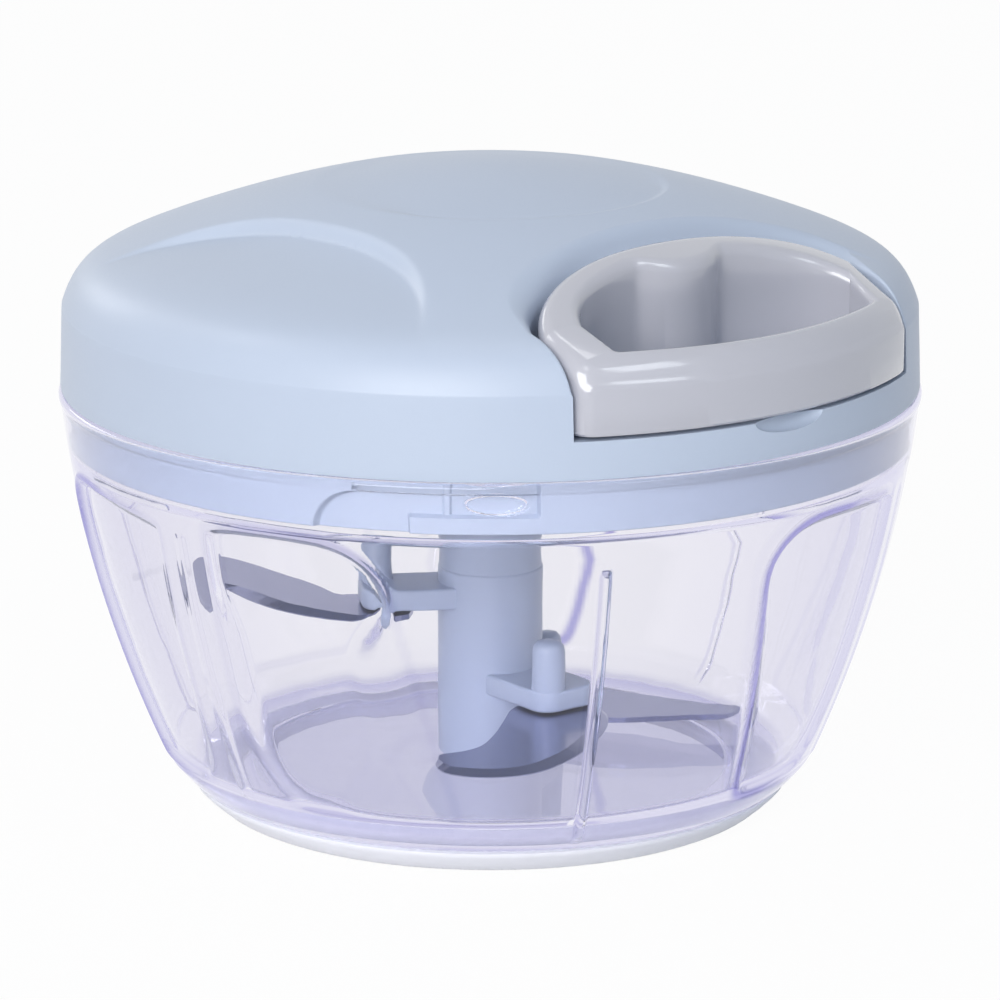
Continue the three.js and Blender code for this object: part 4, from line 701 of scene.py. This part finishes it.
def make_lid_base():
    """The skirt with its three bayonet channels, and the plate that carries the drive hub's bush."""
    az = list(np.arange(0, 360, 0.6))
    for k in range(3):
        for low, high in ((-24.2, -14.2), (-11.3, -9.9), (-6.4, -4.8), (5.8, 6.8)):
            az += list(120 * k + np.arange(low, high, 0.15))
    az = np.unique(np.round(np.mod(az, 360), 2))
    t = from_nearest_third(az, 0)
    heights = [SKIRT_LOW, 54.5, 54.8] + list(np.arange(55.1, 61.3, 0.2)) + [61.6, 62.5, SKIRT_TOP - 0.1]
    rings = []
    for z in heights:
        rise = min(max((z - 54.1) / (60.7 - 54.1), 0), 1)
        left = -23.4 + 8.4 * (1 - math.sqrt(1 - rise * rise))
        channel = smooth(left - 0.35, left + 0.35, t) * (1 - smooth(6.05, 6.55, t))
        channel = channel * (1 - float(smooth(60.5, 60.9, z)))
        tab = smooth(-10.85, -10.35, t) * (1 - float(smooth(56.7, 57.1, z)))
        rib = 0.45 * smooth(-6.2, -5.9, t) * (1 - smooth(-5.3, -5.0, t))
        depth = channel * (1.1 * (1 - tab) - rib * (1 - tab))
        edge = 0.1 if z in (SKIRT_LOW, heights[-1]) else 0.0
        rings.append(on_azimuth(SKIRT_R - edge - depth, az, z))
    inner = SKIRT_R - SKIRT_WALL
    rings += [on_azimuth(r, az, z) for r, z in (
        (SKIRT_R - 0.3, SKIRT_TOP), (inner + 0.3, SKIRT_TOP), (inner, SKIRT_TOP - 0.3),
        (inner, PLATE_TOP + 0.3), (inner - 0.4, PLATE_TOP), (12, PLATE_TOP), (9.3, PLATE_TOP),
        (BUSH_SEAT, PLATE_TOP - 0.2), (BUSH_SEAT, 54.6), (9.2, SKIRT_LOW), (11.2, SKIRT_LOW),
        (BUSH_RIM, 54.6), (BUSH_RIM, 57.6), (11.8, PLATE_LOW), (40, PLATE_LOW), (inner - 0.4, PLATE_LOW),
        (inner, 57.6), (inner, 54.6), (inner + 0.2, SKIRT_LOW))]
    base = skin("lid_skirt", rings, looped=True)
    for x, y, _ in screw_places():
        combine(base, rod("hole", SCREW_BORE, 50, 70, 24, x, y), "DIFFERENCE")
    finish_piece(base, "lid", ["lid_base"], band_blue, 40)


# Handle
def ring_outline():
    """The handle's outer edge, from its left back corner round to its right one and back along the front."""
    v = np.sin(np.linspace(-1, 1, 121) * math.pi / 2) * HANDLE_HALF
    back = np.column_stack([inner_curve(HANDLE_IN, HANDLE_HALF, BOWS, v), v])
    corner = HANDLE_CORNER
    u1 = math.sqrt((HANDLE_OUT - corner) ** 2 - (HANDLE_HALF - corner) ** 2)
    tip = math.atan2(HANDLE_HALF - corner, u1)
    a = np.linspace(math.pi / 2, tip, 13)
    right = np.column_stack([u1 + corner * np.cos(a), HANDLE_HALF - corner + corner * np.sin(a)])
    sweep = np.linspace(tip, -tip, 61)[1:-1]
    front = np.column_stack([HANDLE_OUT * np.cos(sweep), HANDLE_OUT * np.sin(sweep)])
    return back, np.vstack([right, front, right[::-1] * (1, -1)])


def opening_outline():
    """The finger opening's edge, in the same order."""
    arc_in = HANDLE_OUT - BAR_FRONT
    back = []
    for s in np.sin(np.linspace(-1, 1, 121) * math.pi / 2):
        half = HANDLE_HALF - (BAR_LEFT if s < 0 else BAR_RIGHT)
        v = s * half
        u = float(inner_curve(HANDLE_IN + BAR_BACK, half, (OPENING_BOW, OPENING_BOW), v))
        d = BOSS_R ** 2 - (v - BOSS_SHIFT) ** 2
        if d > 0:
            boss = HANDLE_IN - BOSS_IN + math.sqrt(d)
            k = 1.2
            h = max(k - abs(boss - u), 0) / k
            u = max(boss, u) + h * h * k / 4
        back.append((u, v))
    right = math.asin((HANDLE_HALF - BAR_RIGHT - 1.6) / arc_in)
    left = -math.asin((HANDLE_HALF - BAR_LEFT - 0.6) / arc_in)
    end = 0.012
    middle = np.linspace(right - end, left + end, 61)[1:-1]
    sweep = np.concatenate([np.linspace(right, right - end, 13), middle, np.linspace(left + end, left, 13)])
    return np.array(back), np.column_stack([arc_in * np.cos(sweep), arc_in * np.sin(sweep)])


def make_handle():
    """A section of the ring at each station, rounded outside by an ellipse and inside by a circle."""
    arc = np.radians(np.linspace(0, 90, 15))
    outer_in, outer_up = 2.3 * (1 - np.cos(arc)), 2.1 * np.sin(arc)
    drop = outer_up[-1]
    arc = np.radians(np.linspace(0, 90, 9))
    inner_r = 1.6
    stations = [((o[1], -o[0]), (i[1], -i[0])) for outer, inner in zip(ring_outline(), opening_outline())
                for o, i in zip(outer, inner)]
    rings = []
    for outside, inside in stations:
        o, w = np.array(outside), np.array(inside) - np.array(outside)
        width = np.linalg.norm(w)
        w = w / width

        def at(distance, below):
            x, y = o + w * distance
            return (x, y, float(dome(math.hypot(x, y), HANDLE_SHOULDER)) - HANDLE_DIP - below)

        def at_height(distance, z):
            x, y = o + w * distance
            return (x, y, z)

        ring = [at_height(0.35, HANDLE_LOW), at_height(0, HANDLE_LOW + 0.35)]
        ring += [at(0, drop + 2), at(0, drop + 0.6)]
        ring += [at(x, drop - z) for x, z in zip(outer_in, outer_up)]
        ring += [at(width - inner_r * (1 - math.sin(x)), inner_r * (1 - math.cos(x))) for x in arc]
        ring += [at(width, inner_r + 1), at(width, inner_r + 3), at_height(width, HANDLE_LOW + 0.35),
                 at_height(width - 0.35, HANDLE_LOW)]
        rings.append(ring)
    ring = skin("handle_ring", rings, looped=True)
    combine(ring, rod("hole", 2.2, HANDLE_LOW - 3, CORD_Z + 4, 32, 0, -(HANDLE_IN + 4)), "DIFFERENCE")
    combine(ring, rod_along("hole", 1.2, HANDLE_IN - 3, HANDLE_IN + 4, CORD_Z, 24), "DIFFERENCE")
    turn(ring, PULL_AZ)
    finish_piece(ring, "handle", ["handle"], handle_grey, 40)


# Blade shaft
def tongue(az, low, high):
    """An arm with rounded far corners."""
    r, w, reach = ARM_CORNER, ARM_HALF, ARM_REACH
    arc = np.radians(np.linspace(0, 90, 9))
    side = [(w - r + r * math.cos(a), -(reach - r) - r * math.sin(a)) for a in arc]
    outline = [(-w, 0.0), (w, 0.0)] + side + [(-x, y) for x, y in side[::-1]]
    return turn(prism("tongue", outline[::-1], low, high), az)


def post(az, top, height):
    x, y, _ = on_azimuth(POST_REACH, az - POST_TURN, 0.0)
    if height > 5:
        ends = [(2.35, height - 1.5), (2.2, height - 0.8), (1.8, height - 0.3), (1.1, height - 0.05),
                (0.4, height)]
    else:
        ends = [(2.25, height - 0.4), (2.1, height - 0.12), (1.8, height), (0.4, height)]
    profile = [(0.4, -1.5), (2.5, -1.5), (2.5, 0.0)] + ends
    ob = lathe("post", [(r, top + z) for r, z in profile], 40)
    ob.data.transform(Matrix.Translation((x, y, 0)))
    return ob


def stud(az, low):
    """The riveted stud that holds a blade under its arm."""
    x, y, _ = on_azimuth(STUD_REACH, az, 0.0)
    head = low - 1.4
    profile = [(0.4, head - 0.8), (1.9, head - 0.75), (2.35, head - 0.5), (2.5, head - 0.2), (2.5, head),
               (1.4, head), (1.4, low + 1.5), (0.4, low + 1.5)]
    ob = lathe("stud", profile, 32)
    ob.data.transform(Matrix.Translation((x, y, 0)))
    return ob


def make_shaft():
    column = lathe("blade_column", [
        (0.4, SHAFT_LOW), (5.6, SHAFT_LOW), (7.3, SHAFT_LOW), (7.6, 6.4), (7.7, 6.7), (7.7, 34.1),
        (7.68, 34.25), (7.5, 34.45), (7.5, 53.4), (7.4, 53.7), (7.2, SHAFT_TOP), (0.4, SHAFT_TOP)], 96)
    for az, top, height in ARMS:
        arm = tongue(az, top - ARM_THICK, top)
        round_edges(arm, 0.45, 40, 3)
        combine(arm, post(az, top, height), "UNION")
        combine(arm, stud(az, top - ARM_THICK), "UNION")
        combine(column, arm, "UNION")
    combine(column, rod("foot", 5.8, 3, 10.5, 64), "DIFFERENCE")
    combine(column, rod("bore", 2.3, 6, 22.5, 40), "DIFFERENCE")
    a = np.arange(6) * math.pi / 3
    hexagon = np.column_stack([SOCKET_R * np.sin(a), -SOCKET_R * np.cos(a)])
    combine(column, prism("socket", hexagon, SOCKET_LOW, 57), "DIFFERENCE")
    finish_piece(column, "blades", ["blade_shaft"], shaft_blue, 35)


# Cord
def place(points):
    """From along and across the pull to the row frame."""
    a = math.radians(PULL_AZ)
    p = np.asarray(points, float)
    return np.column_stack([p[:, 0] * math.sin(a) + p[:, 1] * math.cos(a),
                            -p[:, 0] * math.cos(a) + p[:, 1] * math.sin(a), p[:, 2]])


def make_cord():
    bend = HANDLE_IN - POCKET_GAP - POCKET_WALL - 2 * CORD_R - 0.3
    leave = math.acos(DRUM_R / bend)
    share = np.linspace(0, 1, TURNS * 72 + 1)
    angle = -leave - (1 - share) * 2 * TURNS * math.pi
    turns = np.column_stack([DRUM_R * np.cos(angle), DRUM_R * np.sin(angle),
                             DRUM_LOW + share * (CORD_Z - DRUM_LOW)])
    heading = np.array([math.sin(leave), math.cos(leave), 0.0])
    last = turns[-1]
    turns = np.vstack([turns, last + heading * 1.0, last + heading * 1.8])
    winding = tube("cord_turns", place(turns), CORD_R, 12)
    finish_piece(winding, "reel", ["cord_winding"], cord_white, 50)
    # From the drum to the eyelet
    start = last + heading * 2.1
    lead = [start, start + heading * 8, start + heading * 16]
    lead += [np.array([bend, 0, CORD_Z]) - heading * 2.0, np.array([bend + 2.0, 0, CORD_Z])]
    lead = tube("cord_run", place(spline(lead, 12)), CORD_R, 12)
    finish_piece(lead, "lid", ["cord_lead"], cord_white, 50)
    # The run that stretches from the eyelet to the handle
    near, far = bend + 3.0, HANDLE_IN
    line = np.concatenate([[bend + 2.05, near - 0.05], np.linspace(near, far, 160),
                           far + np.array([0.2, 0.8, 1.8, 2.4])])
    line = np.column_stack([line, np.zeros(len(line)), np.full(len(line), CORD_Z)])
    span = tube("cord_span", place(line), CORD_R, 12)
    finish_piece(span, None, None, cord_white, 50)
    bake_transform(span)
    # The knot, a trefoil in the handle's boss
    k = np.arange(96) * 2 * math.pi / 96
    knot = np.column_stack([0.36 * (np.sin(k) + 2 * np.sin(2 * k)), 0.36 * (np.cos(k) - 2 * np.cos(2 * k)),
                            -0.75 * np.sin(3 * k)])
    knot = knot[:, [2, 0, 1]] + np.array([HANDLE_IN + 4, 0, CORD_Z])
    knot = tube("cord_tie", place(knot), 0.62, 10, looped=True)
    finish_piece(knot, "handle", ["cord_knot"], cord_white, 50)


make_bowl()
make_base_ring()
make_lid_cover()
make_lid_base()
make_handle()
make_shaft()
make_cord()

# Nodes that keep their solids
for names, mat in (
    (("blade_upper", "blade_middle", "blade_lower"), blade_steel),
    (("pivot_pin", "lid_screw_1", "lid_screw_2", "lid_screw_3", "lid_screw_4", "reel_axle", "reel_washer",
      "reel_screw", "recoil_spring", "cord_eyelet"), part_steel),
    (("cord_reel", "spring_cover", "pawl_1", "pawl_2", "drive_hub", "hub_bush"), inner_white),
):
    for name in names:
        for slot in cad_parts[name].material_slots:
            slot.material = mat


# Floor, world, lamps and camera, in metres
def seen_rays(nt):
    """1 for rays that see the background: from the camera, in a gloss, or through the clear bowl."""
    path = nt.nodes.new("ShaderNodeLightPath")
    direct = math_node(nt, "MAXIMUM", path.outputs["Is Camera Ray"], path.outputs["Is Glossy Ray"])
    return math_node(nt, "MAXIMUM", direct, path.outputs["Is Transmission Ray"])


FLOOR_HALF, FLOOR_AT, FLOOR_GLOW = 3, -0.0001, 0.96
corners = [(x * FLOOR_HALF, y * FLOOR_HALF, FLOOR_AT) for x, y in ((-1, -1), (1, -1), (1, 1), (-1, 1))]
floor_mesh = bpy.data.meshes.new("floor")
floor_mesh.from_pydata(corners, [], [(0, 1, 2, 3)])
floor = bpy.data.objects.new("floor", floor_mesh)
bpy.context.scene.collection.objects.link(floor)
mat, nt, shader, out = new_material("floor_pale")
shader.inputs["Roughness"].default_value = 0.9
shader.inputs["Specular IOR Level"].default_value = 0.1
pale = blend_colours(nt, noise(nt, 3, 2), (0.86, 0.86, 0.87, 1), (0.9, 0.9, 0.9, 1))
nt.links.new(pale, shader.inputs["Base Color"])
glow = nt.nodes.new("ShaderNodeEmission")
glow.inputs["Color"].default_value = (1, 1, 1, 1)
glow.inputs["Strength"].default_value = 1.0
share = math_node(nt, "MULTIPLY", seen_rays(nt), FLOOR_GLOW)
nt.links.new(mix_shaders(nt, share, shader.outputs["BSDF"], glow.outputs["Emission"]), out.inputs["Surface"])
floor.data.materials.append(mat)

# The world is white to rays that see it, and lights the piece whiter from the left and bluer from the right
world = bpy.data.worlds.new("studio")
bpy.context.scene.world = world
world.use_nodes = True
nt = world.node_tree
nt.nodes.clear()
out = nt.nodes.new("ShaderNodeOutputWorld")
light = nt.nodes.new("ShaderNodeBackground")
heading = nt.nodes.new("ShaderNodeSeparateXYZ")
nt.links.new(nt.nodes.new("ShaderNodeTexCoord").outputs["Generated"], heading.inputs["Vector"])
rightwards = spread(nt, heading.outputs["X"], -0.8, 0.8, 0, 1)
nt.links.new(blend_colours(nt, rightwards, (0.97, 0.98, 1.0, 1), (0.58, 0.76, 1.0, 1)), light.inputs["Color"])
nt.links.new(spread(nt, rightwards, 0, 1, 0.32, 0.21), light.inputs["Strength"])
white = nt.nodes.new("ShaderNodeBackground")
white.inputs["Color"].default_value = (1, 1, 1, 1)
white.inputs["Strength"].default_value = 1.0
seen = mix_shaders(nt, seen_rays(nt), light.outputs["Background"], white.outputs["Background"])
nt.links.new(seen, out.inputs["Surface"])

LAMP_TARGET = Vector((0, 0, 0.05))
for name, place_m, size, power, colour in (
    ("key", (-0.48, -1.46, 0.72), (1.0, 0.9), 19, (1, 1, 1)),
    ("fill", (1.1, -1.0, 0.55), (0.8, 0.8), 0.3, (0.62, 0.81, 1)),
    ("bar", (0.05, 0.17, 1.35), (0.5, 0.22), 1.0, (1, 1, 1)),
    ("streak", (0.80, -0.72, 1.07), (0.45, 0.42), 2.2, (0.9, 0.95, 1)),
    ("rim", (-0.85, 0.25, 1.2), (0.5, 0.3), 1.6, (1, 1, 1)),
    ("sheen", (-0.95, 1.15, 0.68), (0.6, 0.5), 2.2, (1, 1, 1)),
    ("gloss", (0.05, -0.95, 1.2), (0.3, 0.2), 0.5, (1, 1, 1)),
):
    lamp = bpy.data.lights.new(name, "AREA")
    lamp.color = colour
    lamp.shape, lamp.size, lamp.size_y = "RECTANGLE", size[0], size[1]
    lamp.energy = power
    ob = bpy.data.objects.new(name, lamp)
    ob.location = place_m
    ob.rotation_euler = (LAMP_TARGET - Vector(place_m)).to_track_quat("-Z", "Y").to_euler()
    bpy.context.scene.collection.objects.link(ob)

# The camera fitted to the photo
CAMERA_TARGET, CAMERA_AWAY, CAMERA_ELEVATION = Vector((0, 0, 0.04376)), 0.8, math.radians(14.41)
away = Vector((0, -math.cos(CAMERA_ELEVATION), math.sin(CAMERA_ELEVATION)))
camera = bpy.data.objects.new("camera", bpy.data.cameras.new("camera"))
camera.data.lens = 196.4
camera.data.sensor_width = 36
camera.data.shift_x = 0.0098
camera.data.clip_end = 20
camera.location = CAMERA_TARGET + CAMERA_AWAY * away
camera.rotation_euler = (-away).to_track_quat("-Z", "Y").to_euler()
bpy.context.scene.collection.objects.link(camera)
bpy.context.scene.camera = camera
bpy.context.scene.view_settings.view_transform = "Standard"
